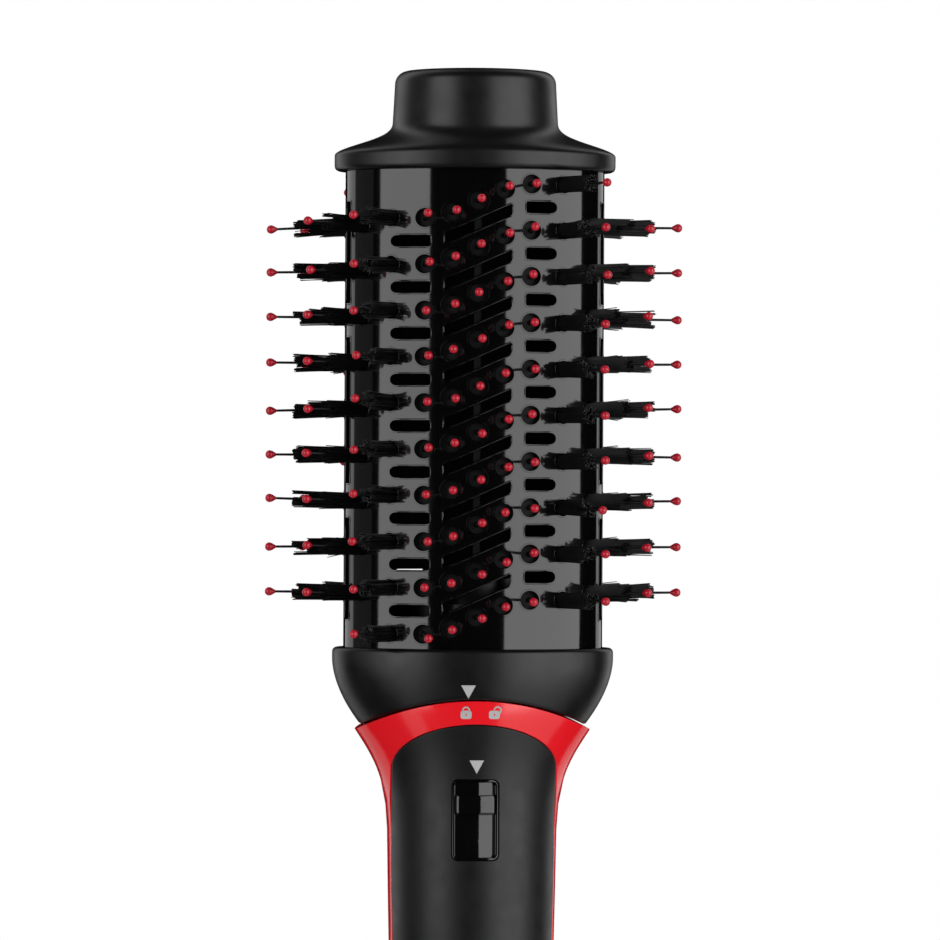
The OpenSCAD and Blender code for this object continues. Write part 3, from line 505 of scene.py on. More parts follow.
def cap_ring(drop, inset):
    """Half width and half depth of the cap at a drop, less an inset."""
    a = cap_half(drop)
    b = NECK_D + (a - NECK_D) * (CAP_B - NECK_D) / (CAP_A - NECK_D)
    return a - inset, b - inset


def corner(radius, steps):
    """Inset and drop along a quarter-round edge: radius (1 - sin v), radius (1 - cos v)."""
    v = np.linspace(0, 90, steps)
    return radius * (1 - sind(v)), radius * (1 - cosd(v))


def build_cap():
    """Tip cap: rounded top edge, drafted neck, S-shaped flare, upright rim and the ledge round the barrel."""
    inset, drop = corner(CAP_EDGE, 9)
    depth = np.concatenate([drop, np.linspace(3.6, 11.6, 5), np.linspace(12.2, 20.2, 22),
                            [21.2, 22.3, 22.9, 23.3, 23.55, 23.6]])
    inward = np.concatenate([inset, np.zeros(5 + 22), [0.0, 0.0, 0.12, 0.4, 0.9, 1.5]])
    a, b = cap_ring(depth, inward)
    x, y = oval(a[:, None], b[:, None], AROUND)
    shell = stack(x, y, (TOP - depth)[:, None])
    shares = np.array([[0.02], [0.5], [0.96]])
    top = stack(shares * x[:1], shares * y[:1], TOP)
    rim_x, rim_y = barrel_seat()
    ledge = np.concatenate([stack(rim_x, rim_y, FLANGE), stack(rim_x, rim_y, FLANGE + LEDGE),
                            stack(rim_x * 0.02, rim_y * 0.02, FLANGE + LEDGE)])
    points = np.concatenate([top, shell, ledge])
    rows, columns = points.shape[:2]
    ends = np.arange(columns)
    following = (ends + 1) % columns
    pole = np.full(columns, rows * columns)
    last = (rows - 1) * columns
    fans = np.concatenate([np.stack([pole, following, ends], 1),
                           np.stack([pole + 1, last + ends, last + following], 1)])
    points = np.concatenate([points.reshape(-1, 3), [[0, 0, TOP], [0, 0, FLANGE + LEDGE]]])
    faces = grid_quads(rows, columns, wrap_columns=True).tolist() + fans.tolist()
    dress("cap_shell", cleaned(mesh_of("cap_shell", points, faces), merge=1e-6), satin_abs,
          "brush_head", "satin_black", ("tip_cap",))


BOWL_TAPER, BOWL_START, BOWL_LENGTH, BOWL_SHARE = 7.3, 2.6, 16.4, 0.3
BOWL_EDGE = 1.1
SEAM_CROWN = GRIP_HIGH[2] + 5.95


def bowl_half(drop):
    """Half width of the collar below its top: A - taper (max(0, drop - start) / length)^1.8."""
    return CAP_A - BOWL_TAPER * (np.maximum(0, drop - BOWL_START) / BOWL_LENGTH) ** 1.8


def bowl_deep(half):
    """Half depth of the collar where it has a half width: B less a share of what the width has lost."""
    return CAP_B - BOWL_SHARE * (CAP_A - half)


def seam_level(x, radius):
    """Height of the arched seam at x: centre + sqrt(radius^2 - x^2)."""
    crown = handle().seam
    return SEAM_CROWN - crown + np.sqrt(radius ** 2 - x ** 2)


def build_collar():
    """Collar bowl: rolled top edge, curved wall down to the arched seam, rounded lower lip and inner wall."""
    radius = handle().seam
    drop = np.full((1, AROUND.shape[1]), 14.0)
    for _ in range(12):
        lip_a = bowl_half(drop)
        lip_b = bowl_deep(lip_a)
        drop = COLLAR_TOP - seam_level(oval(lip_a, lip_b, AROUND)[0], radius)
    inset, edge_drop = corner(BOWL_EDGE, 6)
    rows = [stack(*oval(bowl_half(level) - inward, CAP_B - inward, AROUND), COLLAR_TOP - level)
            for level, inward in zip(edge_drop, inset)]
    depth = BOWL_EDGE + np.linspace(0, 1, 26)[1:, None] * (drop - 0.35 - BOWL_EDGE)
    wall_a = bowl_half(depth)
    rows.append(stack(*oval(wall_a, bowl_deep(wall_a), AROUND), COLLAR_TOP - depth))
    for inward, lift in ((0.12, 0.12), (0.35, 0.0), (2.0, 0.0), (2.0, 2.5)):
        x, y = oval(lip_a - inward, lip_b - inward, AROUND)
        rows.append(stack(x, y, seam_level(x, radius) + lift))
    for level, inward in ((7.0, 2.2), (2.2, 2.4)):
        rows.append(stack(*oval(bowl_half(level) - inward, CAP_B - inward, AROUND), COLLAR_TOP - level))
    rim_x, rim_y = barrel_seat()
    rows += [stack(rim_x, rim_y, COLLAR_TOP - LEDGE), stack(rim_x, rim_y, COLLAR_TOP - 0.5)]
    points = np.concatenate(rows)
    quads = grid_quads(*points.shape[:2], wrap_rows=True, wrap_columns=True)
    new_piece("collar_shell", points, quads, satin_abs, "brush_head", "satin_black", ("collar",))


# ---- Barrel ----
def barrel_arcs():
    """Radius and centre depth of the barrel's broad arcs, the side arcs' centre and the meeting angle."""
    r = head().side_round
    side_x = HALF_W - r
    broad = (side_x ** 2 + HALF_D ** 2 - r ** 2) / (2 * (HALF_D - r))
    return r, side_x, broad, broad - HALF_D, math.degrees(math.atan2(broad - HALF_D, side_x))


def skin_normal(points):
    """Outward normal of the barrel at points on or near its skin, and the distance from the skin."""
    r, side_x, broad, broad_y, meet = barrel_arcs()
    x, y = points[..., 0], points[..., 1]
    over = np.maximum(np.abs(x) - side_x, 1e-9)
    side = np.degrees(np.arctan2(np.abs(y), over)) < meet
    side &= np.abs(x) > side_x
    normal = np.where(side[..., None],
                      np.stack([np.sign(x) * over, y, 0 * x], -1),
                      np.stack([x, y + np.sign(y) * broad_y, 0 * x], -1))
    length = np.linalg.norm(normal, axis=-1, keepdims=True)
    return normal / length, length[..., 0] - np.where(side, r, broad)


SKIN_REACH = 0.08
TINY_FACE = 1e-9


def shade_by(mesh, field, agree=0.9):
    """Gives corners on a smooth skin the skin's own normals; field gives normal and distance from the skin.

    A face counts as skin where its normal agrees with the skin's, or where it is too small to have one."""
    count = len(mesh.loops)
    faces = len(mesh.polygons)
    where, starts, totals = (np.zeros(n, np.int32) for n in (count, faces, faces))
    points, flat, shown, area = (np.zeros(n) for n in
                                 (3 * len(mesh.vertices), 3 * faces, 3 * count, faces))
    mesh.loops.foreach_get("vertex_index", where)
    mesh.vertices.foreach_get("co", points)
    mesh.polygons.foreach_get("loop_start", starts)
    mesh.polygons.foreach_get("loop_total", totals)
    mesh.polygons.foreach_get("normal", flat)
    mesh.polygons.foreach_get("area", area)
    mesh.corner_normals.foreach_get("vector", shown)
    owner = np.repeat(np.arange(faces), totals)
    flat = flat.reshape(-1, 3)[owner]
    true, gap = field(points.reshape(-1, 3)[where] / MM)
    outer = (np.abs(gap) < SKIN_REACH) & (((flat * true).sum(-1) > agree) | (area[owner] < TINY_FACE))
    mesh.normals_split_custom_set(np.where(outer[:, None], true, shown.reshape(-1, 3)).tolist())


def build_barrel():
    """Barrel sleeve, shaded by the true oval, so that reflections run unbroken between the holes."""
    piece = smooth_copy("barrel_sleeve", glazed_coating, "brush_head", "barrel_black", 20.0)
    shade_by(piece.data, skin_normal, 0.97)


ROW_BEND = 13
OUTER_TURN = 30.7
SIDE_TURN = 42.0


def bristle_sites():
    """Foot points on the skin and outward directions of bare pins, outer tufts and side tufts.

    A bare pin of the front stands along -Y at x, in a bent row z + swing sin(90 x / 13). An outer tuft stands
    square to the broad arc at 30.7 degrees, and side tufts square to the right side arc, half a row lower."""
    size = head()
    r, side_x, broad, broad_y, _ = barrel_arcs()
    barrel_len = FLANGE - COLLAR_TOP
    first = FLANGE - (barrel_len - (size.rows - 1) * size.pitch) / 2
    level = (first - np.arange(size.rows) * size.pitch)[:, None]
    x = np.arange(-2, 3)[None, :] * size.pin_gap
    bend = size.swing * sind(90 * np.clip(x / ROW_BEND, -1, 1))
    bare = stack(x, broad_y - np.sqrt(broad ** 2 - x ** 2), level + bend).reshape(-1, 3)
    bare_out = np.tile([0.0, -1.0, 0.0], (len(bare), 1))
    sign = np.array([[-1.0, 1.0]])
    turn = OUTER_TURN * sign
    outer = stack(broad * sind(turn), broad_y - broad * cosd(turn), level + sign * size.swing)
    outer_out = stack(sind(turn), -cosd(turn), 0 * level + 0 * turn).reshape(-1, 3)
    angle = np.array([[-SIDE_TURN, 0.0, SIDE_TURN]])
    half_level = level[:-1] - size.pitch / 2
    side = stack(side_x + r * cosd(angle), r * sind(angle), half_level).reshape(-1, 3)
    side_out = stack(cosd(angle), sind(angle), 0 * half_level).reshape(-1, 3)
    return (bare, bare_out), (outer.reshape(-1, 3), outer_out), (side, side_out)


HALF_TURN = np.array([-1.0, -1.0, 1.0])


def faces_of_head():
    """The four faces: name, foot points and directions of their bristles, and how many of them are bare.

    The back and the left are the front and the right turned by 180 degrees."""
    (bare, bare_out), (outer, outer_out), (side, side_out) = bristle_sites()
    broad, broad_out = np.concatenate([bare, outer]), np.concatenate([bare_out, outer_out])
    return [("front", broad, broad_out, len(bare)),
            ("back", broad * HALF_TURN, broad_out * HALF_TURN, len(bare)),
            ("right", side, side_out, 0), ("left", side * HALF_TURN, side_out * HALF_TURN, 0)]


LEAN_SEEDS = {"front": 11, "back": 12, "right": 13, "left": 14}
LEAN = 0.018


def leaning(out, face):
    """Directions tipped by small random amounts sideways and up, with the two cross directions of each."""
    chance = np.random.default_rng(LEAN_SEEDS[face])
    up = np.array([0.0, 0.0, 1.0])
    across = np.cross(up, out)
    tip = chance.normal(0, LEAN, (len(out), 2))
    main = out + tip[:, :1] * across + tip[:, 1:] * up
    main /= np.linalg.norm(main, axis=1, keepdims=True)
    first = np.cross(up, main)
    first /= np.linalg.norm(first, axis=1, keepdims=True)
    return main, first, np.cross(main, first)


def turned_profile(foot, main, first, second, radius, height, sides):
    """Copies of a turned profile: foot + height main + radius (cos v first + sin v second)."""
    v = np.linspace(0, ROUND, sides + 1)[:-1]
    spoke = first[:, None, None] * cosd(v)[:, None] + second[:, None, None] * sind(v)[:, None]
    points = (foot[:, None, None] + height[None, :, None, None] * main[:, None, None]
              + radius[None, :, None, None] * spoke)
    rows = len(height)
    return points, repeated(grid_quads(rows, sides, wrap_columns=True), len(foot), rows * sides)


# Stem of a pin from its foot below the skin: distances along it, the last one below the ball, and radii
STEM_HEIGHTS = (-2.9, -1.7, -1.6, -0.9, 1.0, 6.0, 11.0)
STEM_BELOW_BALL = 1.6
STEM_RADII = (0.75, 0.75, 0.6, 0.42, 0.36, 0.33, 0.3, 0.28)


def build_pins():
    """Pins: a stem on a small foot, and a ball of radius r sin(v)^0.95, drawn out towards the stem."""
    size = head()
    reach = size.pin_reach
    heights = np.array([STEM_HEIGHTS[0], *STEM_HEIGHTS, *(reach - STEM_BELOW_BALL,) * 2])
    widths = np.array([0.001, *STEM_RADII, 0.001])
    v = np.linspace(0, 180, 13)
    radius = size.ball * np.maximum(sind(v), 0) ** 0.95
    height = size.ball * cosd(v)
    tail = v > 90
    height = np.where(tail, height * (1 + 0.75 * ((v - 90) / 90) ** 2), height)
    radius = np.where(tail, np.maximum(radius, 0.36 * (v < 175)), radius)
    radius[0] = radius[-1] = 0.0005
    for name, foot, out, _ in faces_of_head():
        axes = leaning(out, name)
        new_piece(name + "_pin_stems", *turned_profile(foot, *axes, widths, heights, 8), drawn_nylon,
                  "brush_head", "nylon_black", (name + "_pins",), 50.0)
        new_piece(name + "_pin_balls", *turned_profile(foot, *axes, radius[::-1], reach + height[::-1], 16),
                  dipped_balls, "brush_head", "pin_red", (name + "_pin_tips",), 80.0)


FILAMENT = 0.15


def build_tufts():
    """Tufts: straight three-sided filaments in a few locks of unlike length, which fan out a little.

    A filament runs from foot point p in a disc to p (1 + fan) + drift, and thins to 0.7 of its width."""
    size = head()
    share = np.array([-0.15, 0.3, 0.65, 1.0])
    rise = np.clip(share, 0, 1)
    for name, foot, out, bare in faces_of_head():
        foot, main, first, second = (part[bare:] for part in (foot, *leaning(out, name)))
        chance = np.random.default_rng(LEAN_SEEDS[name] + 100)
        tufts, strands = len(foot), size.filaments
        turn = chance.uniform(0, ROUND, (tufts, strands))
        away = size.tuft * np.sqrt(chance.uniform(0.03, 0.95, (tufts, strands)))
        px, py = away * cosd(turn), away * sind(turn)
        fan = chance.uniform(0.0, 0.16, (tufts, strands))
        stray = np.where(chance.uniform(0, 1, (tufts, strands)) > 0.96, 3.2, 1.0)
        drift = chance.normal(0, 0.13, (2, tufts, strands)) * stray
        lock = np.floor((py / size.tuft + 1) * 2.499).astype(int)
        steps = np.take_along_axis(chance.choice([0.0, 0.3, 0.9, 1.6, 3.6], (tufts, 5),
                                                 p=[0.3, 0.25, 0.2, 0.13, 0.12]), lock, 1)
        length = size.tuft_reach - steps - chance.uniform(0.0, 0.7, (tufts, strands))
        grow = 1 + fan[..., None] * rise ** 1.5
        ax = px[..., None] * grow + drift[0][..., None] * rise ** 2
        ay = py[..., None] * grow + drift[1][..., None] * rise ** 2
        height = np.where(share < 0, -1.6, length[..., None] * share)
        centre = (foot[:, None, None] + ax[..., None] * first[:, None, None]
                  + ay[..., None] * second[:, None, None] + height[..., None] * main[:, None, None])
        spin = np.array([0.0, 120.0, 240.0])
        width = FILAMENT * (1 - 0.3 * rise)[:, None, None]
        spokes = (cosd(spin)[:, None] * first[:, None, None, None]
                  + sind(spin)[:, None] * second[:, None, None, None])
        points = centre[..., None, :] + width * spokes
        count, rows = tufts * strands, len(share)
        ends = np.array([[2, 1, 0], [rows * 3 - 3, rows * 3 - 2, rows * 3 - 1]])
        faces = [face for part in (grid_quads(rows, 3, wrap_columns=True), ends)
                 for face in repeated(part, count, rows * 3).tolist()]
        mesh = mesh_of(name + "_tuft_filaments", points, faces)
        dress(mesh.name, mesh, drawn_nylon, "brush_head", "nylon_black", (name + "_tufts",), 70.0)


def beads(outline, radius, sides=6):
    """Rolled edges along closed outlines: p + radius (cos v m + sin v n), m in the skin and n out of it."""
    normal, _ = skin_normal(outline)
    along = np.roll(outline, -1, 1) - np.roll(outline, 1, 1)
    along /= np.linalg.norm(along, axis=-1, keepdims=True)
    across = np.cross(normal, along)
    v = np.linspace(0, ROUND, sides + 1)[:-1]
    points = (outline[:, :, None] + radius * (cosd(v)[:, None] * across[:, :, None]
                                              + sind(v)[:, None] * normal[:, :, None])
              - 0.5 * radius * normal[:, :, None])
    count, steps = outline.shape[:2]
    return points, repeated(grid_quads(steps, sides, wrap_rows=True, wrap_columns=True), count, steps * sides)


def on_front_skin(x, z):
    """Points of the front skin at x and z: y = broad_y - sqrt(R^2 - x^2)."""
    _, _, broad, broad_y, _ = barrel_arcs()
    return stack(x, broad_y - np.sqrt(broad ** 2 - x ** 2), z)


def rounded_bar(low, high, half, round_low, round_high, steps=7):
    """Outline of a bar from low to high and +-half, with half-round or square ends."""
    def end(at, side, is_round):
        """One end, as a half round or as a straight edge with soft corners."""
        v = np.linspace(-90, 90, steps)
        if is_round:
            return np.stack([at - side * half + side * half * cosd(v), half * sind(v)], 1)
        flat = np.linspace(-1, 1, steps)
        soft = 0.25 * (np.abs(flat) > 0.99)
        return np.stack([at - side * soft, half * flat], 1)
    right = end(high, 1, round_high)
    left = end(low, -1, round_low)[::-1]
    middle = np.linspace(0, 1, steps)[1:-1, None]
    top = right[-1] + (left[0] - right[-1]) * middle
    bottom = left[-1] + (right[0] - left[-1]) * middle
    return np.concatenate([right, top, left, bottom])


TUFT_HOLE_GAP = 0.25
SLOT_HALF, SIDE_SLOT_HALF = 1.5, 1.8
# Slots beside the bent rows, from and to x, each with its rise over the row and its round ends
ROW_SLOTS = ((-20.4, -11.0, 0.0, 1.4, (True, False)), (11.0, 18.6, 1.0, -1.4, (False, True)))
MIDDLE_SLOT, MIDDLE_SLANT = 8.0, 23.5
# Tops and bottoms of the long slots of the narrow sides, below the tip, and their tilt round the side
SIDE_SLOTS, SIDE_SLOT_TURN = ((30.7, 54.9), (62.5, 97.1), (104.8, 129.0)), 17.0


def build_hole_edges():
    """Rolled edges of the air holes and slots, which catch thin lines of light."""
    size = head()
    (bare, _), (outer, outer_out), (side, side_out) = bristle_sites()
    r, side_x, *_ = barrel_arcs()
    v = np.linspace(0, ROUND, 25)[:-1]
    sets = [on_front_skin(bare[:, :1] + size.hole * cosd(v), bare[:, 2:] + size.hole * sind(v))]
    up = np.array([0.0, 0.0, 1.0])
    for foot, out in ((outer, outer_out), (side, side_out)):
        across = np.cross(up, out)
        ring = foot[:, None] + (size.tuft + TUFT_HOLE_GAP) * (cosd(v)[:, None] * across[:, None]
                                                              + sind(v)[:, None] * up)
        normal, gap = skin_normal(ring)
        sets.append(ring - gap[..., None] * normal)
    levels = bare[:, 2].reshape(size.rows, -1)[1:, 2:3]
    for low, high, rows_up, rise, ends in ROW_SLOTS:
        bar = rounded_bar(low, high, SLOT_HALF, *ends)
        sets.append(on_front_skin(bar[None, :, 0], levels + (rows_up * size.pitch + rise) + bar[None, :, 1]))
    bar = rounded_bar(-MIDDLE_SLOT, MIDDLE_SLOT, SLOT_HALF, False, False)
    slant = math.tan(math.radians(MIDDLE_SLANT))
    sets.append(on_front_skin(bar[None, :, 0],
                              levels + size.pitch / 2 + bar[None, :, 1] + bar[None, :, 0] * slant))
    slots = []
    for top, bottom in SIDE_SLOTS:
        along, aside = rounded_bar(TOP - bottom, TOP - top, SIDE_SLOT_HALF, False, False, 12).T
        for tilt in (-SIDE_SLOT_TURN, SIDE_SLOT_TURN):
            reach = np.sqrt(r ** 2 - aside ** 2)
            slots.append(stack(side_x + reach * cosd(tilt) - aside * sind(tilt),
                               reach * sind(tilt) + aside * cosd(tilt), along))
    sets.append(np.array(slots))
    new_piece("hole_edges", *joined(beads(turned, size.bead) for outline in sets
                                    for turned in (outline, outline * HALF_TURN)),
              glazed_coating, "brush_head", "barrel_black", (), 60.0)


# ---- Handle ----
BASE_Z = GRIP_LOW[2]
ARCH_TOP = SEAM_CROWN - 5.8
LOFT_Z = SEAM_CROWN - 41.0
RECESS = 2.2
WALL_INSET = 2.6
QUARTERS = ((1, 1), (-1, 1), (-1, -1), (1, -1))


def handle_half(z):
    """Half width and half depth of the handle: a waisted round, plus flare exp(-((seam - z) / L)^1.8)."""
    size = handle()
    fade = np.exp(-(np.maximum(0, SEAM_CROWN - z) / size.flare_length) ** 1.8)
    round_part = size.grip - size.waist * sind(180 * np.clip((LOFT_Z - z) / (LOFT_Z - BASE_Z), 0, 1))
    return round_part + size.flare * fade, round_part + size.flare_deep * fade


def handle_point(z, angle, inset=0.0):
    """Point of the handle's skin at a level and an oval angle, moved in by an inset."""
    a, b = handle_half(z)
    x, y = oval(a - inset, b - inset, angle)
    return stack(x, y, z)


def angle_at(want, z, axis):
    """Oval angle from 0 to 90 at which the skin at z has the given x (axis 0) or y (axis 1), by halving."""
    low, high = np.zeros_like(z), np.full_like(z, 90.0)
    for _ in range(30):
        middle = (low + high) / 2
        short = (oval(*handle_half(z), middle)[axis] > want) == (axis == 0)
        low, high = np.where(short, middle, low), np.where(short, high, middle)
    return (low + high) / 2


def handle_normal(points):
    """Outward normal of the handle's skin next to points, from differences along it, and their distance."""
    x, y, z = np.abs(points[:, 0]), np.abs(points[:, 1]), points[:, 2]
    turn = np.where(x > 0.75 * handle_half(z)[0], angle_at(y, z, 1), angle_at(x, z, 0))
    skin = handle_point(z, turn)
    around = handle_point(z, turn + 0.4) - handle_point(z, turn - 0.4)
    up = handle_point(z + 0.2, turn) - handle_point(z - 0.2, turn)
    true = np.cross(around, up)
    true /= np.linalg.norm(true, axis=1, keepdims=True)
    true *= np.sign((true * skin * [1, 1, 0]).sum(1, keepdims=True))
    side = np.where(points * [1, 1, 0] < 0, -1.0, 1.0)
    return true * side, np.hypot(skin[:, 0] - x, skin[:, 1] - y)


def grip_edge(shrink):
    """Edge of a grip, up its straight side and over the arch (W cos v, h sin v): level and oval angle."""
    size = handle()
    spring = ARCH_TOP - size.arch
    share = np.linspace(0, 1, 24)[:-1]
    v = 90 * np.linspace(0, 1, 44) ** 0.85
    z = np.concatenate([BASE_Z + (spring - BASE_Z) * share, spring + (size.arch - shrink) * sind(v)])
    x = np.concatenate([size.grip + 0.4 - 0.7 * share, (size.grip - 0.3) * np.maximum(cosd(v), 0)])
    x = np.maximum(x - shrink * x / size.grip, 0)
    by_side = angle_at(np.full_like(z, size.stripe + shrink), z, 1)
    by_width = angle_at(x, z, 0)
    return z, np.where(x > 0, np.maximum(by_side, by_width), 90.0)


def build_housing():
    """Red housing: the skin round the grips up to the arched seam, sunk under the grips, as one closed shell.

    A row runs over the sunk floor, up the wall by the grip's edge and round to the side, where the levels
    close up so that the last rows end in the seam."""
    size = handle()
    radius = size.seam - size.seam_gap
    side_seam = 212.0
    for _ in range(20):
        side_seam = seam_level(handle_half(np.array(side_seam))[0], radius)
    knee = LOFT_Z + 9.0
    loops = [grip_edge(shrink) for shrink in (0.0, 0.0, -0.1, -0.3)]
    outer_z, outer_turn = loops[-1]
    crown = SEAM_CROWN - size.seam_gap
    side_z = np.where(outer_z > knee, knee + (outer_z - knee) * (side_seam - knee) / (crown - knee), outer_z)
    swing = np.linspace(0, 1, 27)[None, 1:]
    floor = np.linspace(0, 1, 5)[None, :]
    floor_turn = 90 + (loops[0][1][:, None] - 90) * floor
    turn = np.concatenate([floor_turn, *[t[:, None] for _, t in loops[1:]],
                           outer_turn[:, None] * (1 - swing)], 1)
    level = np.concatenate([np.repeat(loops[0][0][:, None], 5, 1), *[z[:, None] for z, _ in loops[1:]],
                            outer_z[:, None] + (side_z - outer_z)[:, None] * swing], 1)
    inward = np.concatenate([np.full(5, RECESS), [0.2, 0.05, 0.0], np.zeros(26)])
    parting = np.zeros(34)
    parting[-1] = 0.05
    grids = [handle_point(level, turn, inward + parting)]
    last_turn, last_level = turn[-1:], level[-1:]
    lips = [(0.985, 0.04), (1.0, 0.2), (1.0, 2.0)]
    for share, inset in [(s, 0.0) for s in np.linspace(0.12, 0.95, 8)] + lips:
        rise = last_level
        for _ in range(8):
            x = handle_point(rise, last_turn, inset)[..., 0]
            rise = last_level + (seam_level(x, radius) - last_level) * share
        grids.append(handle_point(rise, last_turn, inset + parting))
    for low in (ARCH_TOP - 9, LOFT_Z, BASE_Z):
        grids.append(handle_point(np.full((1, 34), low), last_turn, WALL_INSET))
    points = np.concatenate(grids)
    quads = grid_quads(*points.shape[:2], wrap_rows=True)
    shell = joined((points * [sx, sy, 1], quads if sx * sy > 0 else quads[:, ::-1]) for sx, sy in QUARTERS)
    piece = new_piece("red_housing", *shell, red_abs, "handle", "red_gloss",
                      ("front_housing", "back_housing"), 40.0)
    cut_opening(piece, 2.4, SLIDE_LOW[2] - 5.0, SLIDE_HIGH[2], 0.5)
    shade_by(piece.data, handle_normal)


def grip_points(shrink, inset, columns):
    """Rows of a grip between its two edges at an inset."""
    z, turn = grip_edge(shrink)
    share = np.linspace(-1, 1, columns)[None, :]
    angle = 90 + (90 - turn[:, None]) * share
    return handle_point(z[:, None], angle, inset) * [1, -1, 1]


def edge_loop(grid):
    """The edge of a grip's grid: up its left side and down its right side."""
    return np.concatenate([grid[:, -1], grid[::-1, 0]])


TRAY_GAP = 0.06
# Rolled edge of a grip: how far it shrinks in the skin and how far it sinks
GRIP_EDGE = ((0.7, 0.0), (0.45, 0.03), (0.25, 0.12), (0.13, 0.3), (0.1, 0.5), (0.1, 1.6), (0.7, 1.6))


def build_grips():
    """Soft grips: skins with a rolled edge, set into the housing, the front one cut out for the tray."""
    for side, sign in (("front", 1), ("back", -1)):
        face, back = grip_points(0.7, 0.0, 41), grip_points(0.7, 1.6, 41)
        border = np.stack([edge_loop(grip_points(shrink, inset, 3)) for shrink, inset in GRIP_EDGE])
        points, quads = joined([(face, grid_quads(*face.shape[:2])), (back, grid_quads(*back.shape[:2])),
                                (border, grid_quads(*border.shape[:2], wrap_columns=True))])
        piece = new_piece(side + "_grip_skin", points * [sign, sign, 1], quads,
                          soft_touch, "handle", "soft_grip", (side + "_grip",), 50.0)
        if side == "front":
            cut_opening(piece, TRAY_HIGH[0] + TRAY_GAP, TRAY_LOW[2] - TRAY_GAP, TRAY_HIGH[2] + TRAY_GAP, 1.55)
        shade_by(piece.data, handle_normal)


def cut_opening(piece, half_w, low, high, radius):
    """Cuts a rounded opening from low to high through a piece's front."""
    make = piece.data.materials[0]
    outline = plate_outline(half_w, (high - low) / 2, radius)
    layers = np.stack([stack(outline[:, 0], y, outline[:, 1] + (low + high) / 2) for y in (-30.0, -12.0)])
    cutter = add_object("opening_cutter", cleaned(mesh_of("opening_cutter", layers,
                                                          filled_layers(2, len(outline)))))
    cut = piece.modifiers.new("opening", "BOOLEAN")
    cut.operation, cut.object, cut.solver = "DIFFERENCE", cutter, "EXACT"
    graph = bpy.context.evaluated_depsgraph_get()
    done = bpy.data.meshes.new_from_object(piece.evaluated_get(graph))
    piece.modifiers.clear()
    piece.data = done
    bpy.data.objects.remove(cutter)
    done.materials.clear()
    done.materials.append(make)


# ---- Release slide ----
def plate_outline(half_w, half_h, radius, steps=6, runs=9):
    """Outline of a rounded rectangle: corner centre + radius (cos v, sin v), and points along the sides."""
    v = np.linspace(0, 90, steps)
    arcs = [np.stack([sx * (half_w - radius) + radius * cosd(v + k * 90),
                      sz * (half_h - radius) + radius * sind(v + k * 90)], 1)
            for k, (sx, sz) in enumerate(QUARTERS)]
    share = np.linspace(0, 1, runs + 1)[1:-1, None]
    return np.concatenate([part for k, arc in enumerate(arcs)
                           for part in (arc, arc[-1] + (arcs[(k + 1) % 4][0] - arc[-1]) * share)])


def filled_layers(layers, count):
    """Faces of stacked closed outlines: the walls between them, and the first and last one filled."""
    last = (layers - 1) * count
    return grid_quads(layers, count, wrap_columns=True).tolist() + [list(range(count)),
                                                                     list(range(last, last + count))]


def bent_plate(name, layers, middle, make, body, slot, nodes):
    """A plate bent across its width: layers of (inset, corner radius, distance from the axis, bend, crest).

    A layer is the rounded rectangle of the given half width and half height less its inset, laid on the round
    y = bend - distance - sqrt(bend^2 - (x - crest)^2); ever smaller ones then fill the last one's face."""
    half_w, half_h, centre = middle
    inset, radius, away, bend, crest = layers[-1]
    fill = [(inset + step * (half_w - inset - 0.04), max(radius * (1 - step), 0.02), away, bend, crest)
            for step in (0.1, 0.25, 0.4, 0.55, 0.7, 0.85, 1.0)]
    rings = []
    for inset, radius, away, bend, crest in list(layers) + fill:
        x, z = plate_outline(half_w - inset, half_h - inset, min(radius, half_w - inset)).T
        rings.append(stack(x, bend - away - np.sqrt(bend ** 2 - (x - crest) ** 2), z + centre))
    points = np.stack(rings)
    mesh = cleaned(mesh_of(name, points, filled_layers(*points.shape[:2])))
    return dress(name, mesh, make, body, slot, nodes)


FRAME_W = 0.75
TRAY_BEND, TRAY_CREST = 14.0, -1.5
THUMB_BEND, THUMB_CREST = 12.0, -0.8


def middle_of(low, high):
    """Half width, half height and middle level of a box."""
    return (high[0] - low[0]) / 2, (high[2] - low[2]) / 2, (low[2] + high[2]) / 2


def build_release():
    """Release slide: a glossy tray with a raised frame and a sunk floor, and the thumb piece standing in it."""
    rim = -TRAY_LOW[1]
    frame = [(inset, radius, rim - drop, rim, 0.0) for inset, radius, drop in
             ((0.0, 1.5, 2.2), (0.0, 1.5, 0.25), (0.06, 1.45, 0.08), (0.2, 1.3, 0.0),
              (FRAME_W - 0.2, 0.95, 0.0), (FRAME_W - 0.05, 0.85, 0.08), (FRAME_W, 0.8, 0.22))]
    floor = [(FRAME_W, 0.8, rim - 0.3, TRAY_BEND, TRAY_CREST),
             (FRAME_W + 0.06, 0.75, rim - 0.35, TRAY_BEND, TRAY_CREST)]
    bent_plate("slide_tray_frame", frame + floor, middle_of(TRAY_LOW, TRAY_HIGH), polished_abs,
               "handle", "gloss_black", ("slide_tray",))
    face = -SLIDE_LOW[1]
    bent_plate("slide_thumb_piece",
               [(inset, radius, face - drop, THUMB_BEND, THUMB_CREST) for inset, radius, drop in
                ((0.0, 0.6, 1.5), (0.0, 0.6, 0.4), (0.1, 0.55, 0.13), (0.35, 0.4, 0.0))],
               middle_of(SLIDE_LOW, SLIDE_HIGH), polished_abs, "release", "gloss_black", ("release_slide",))


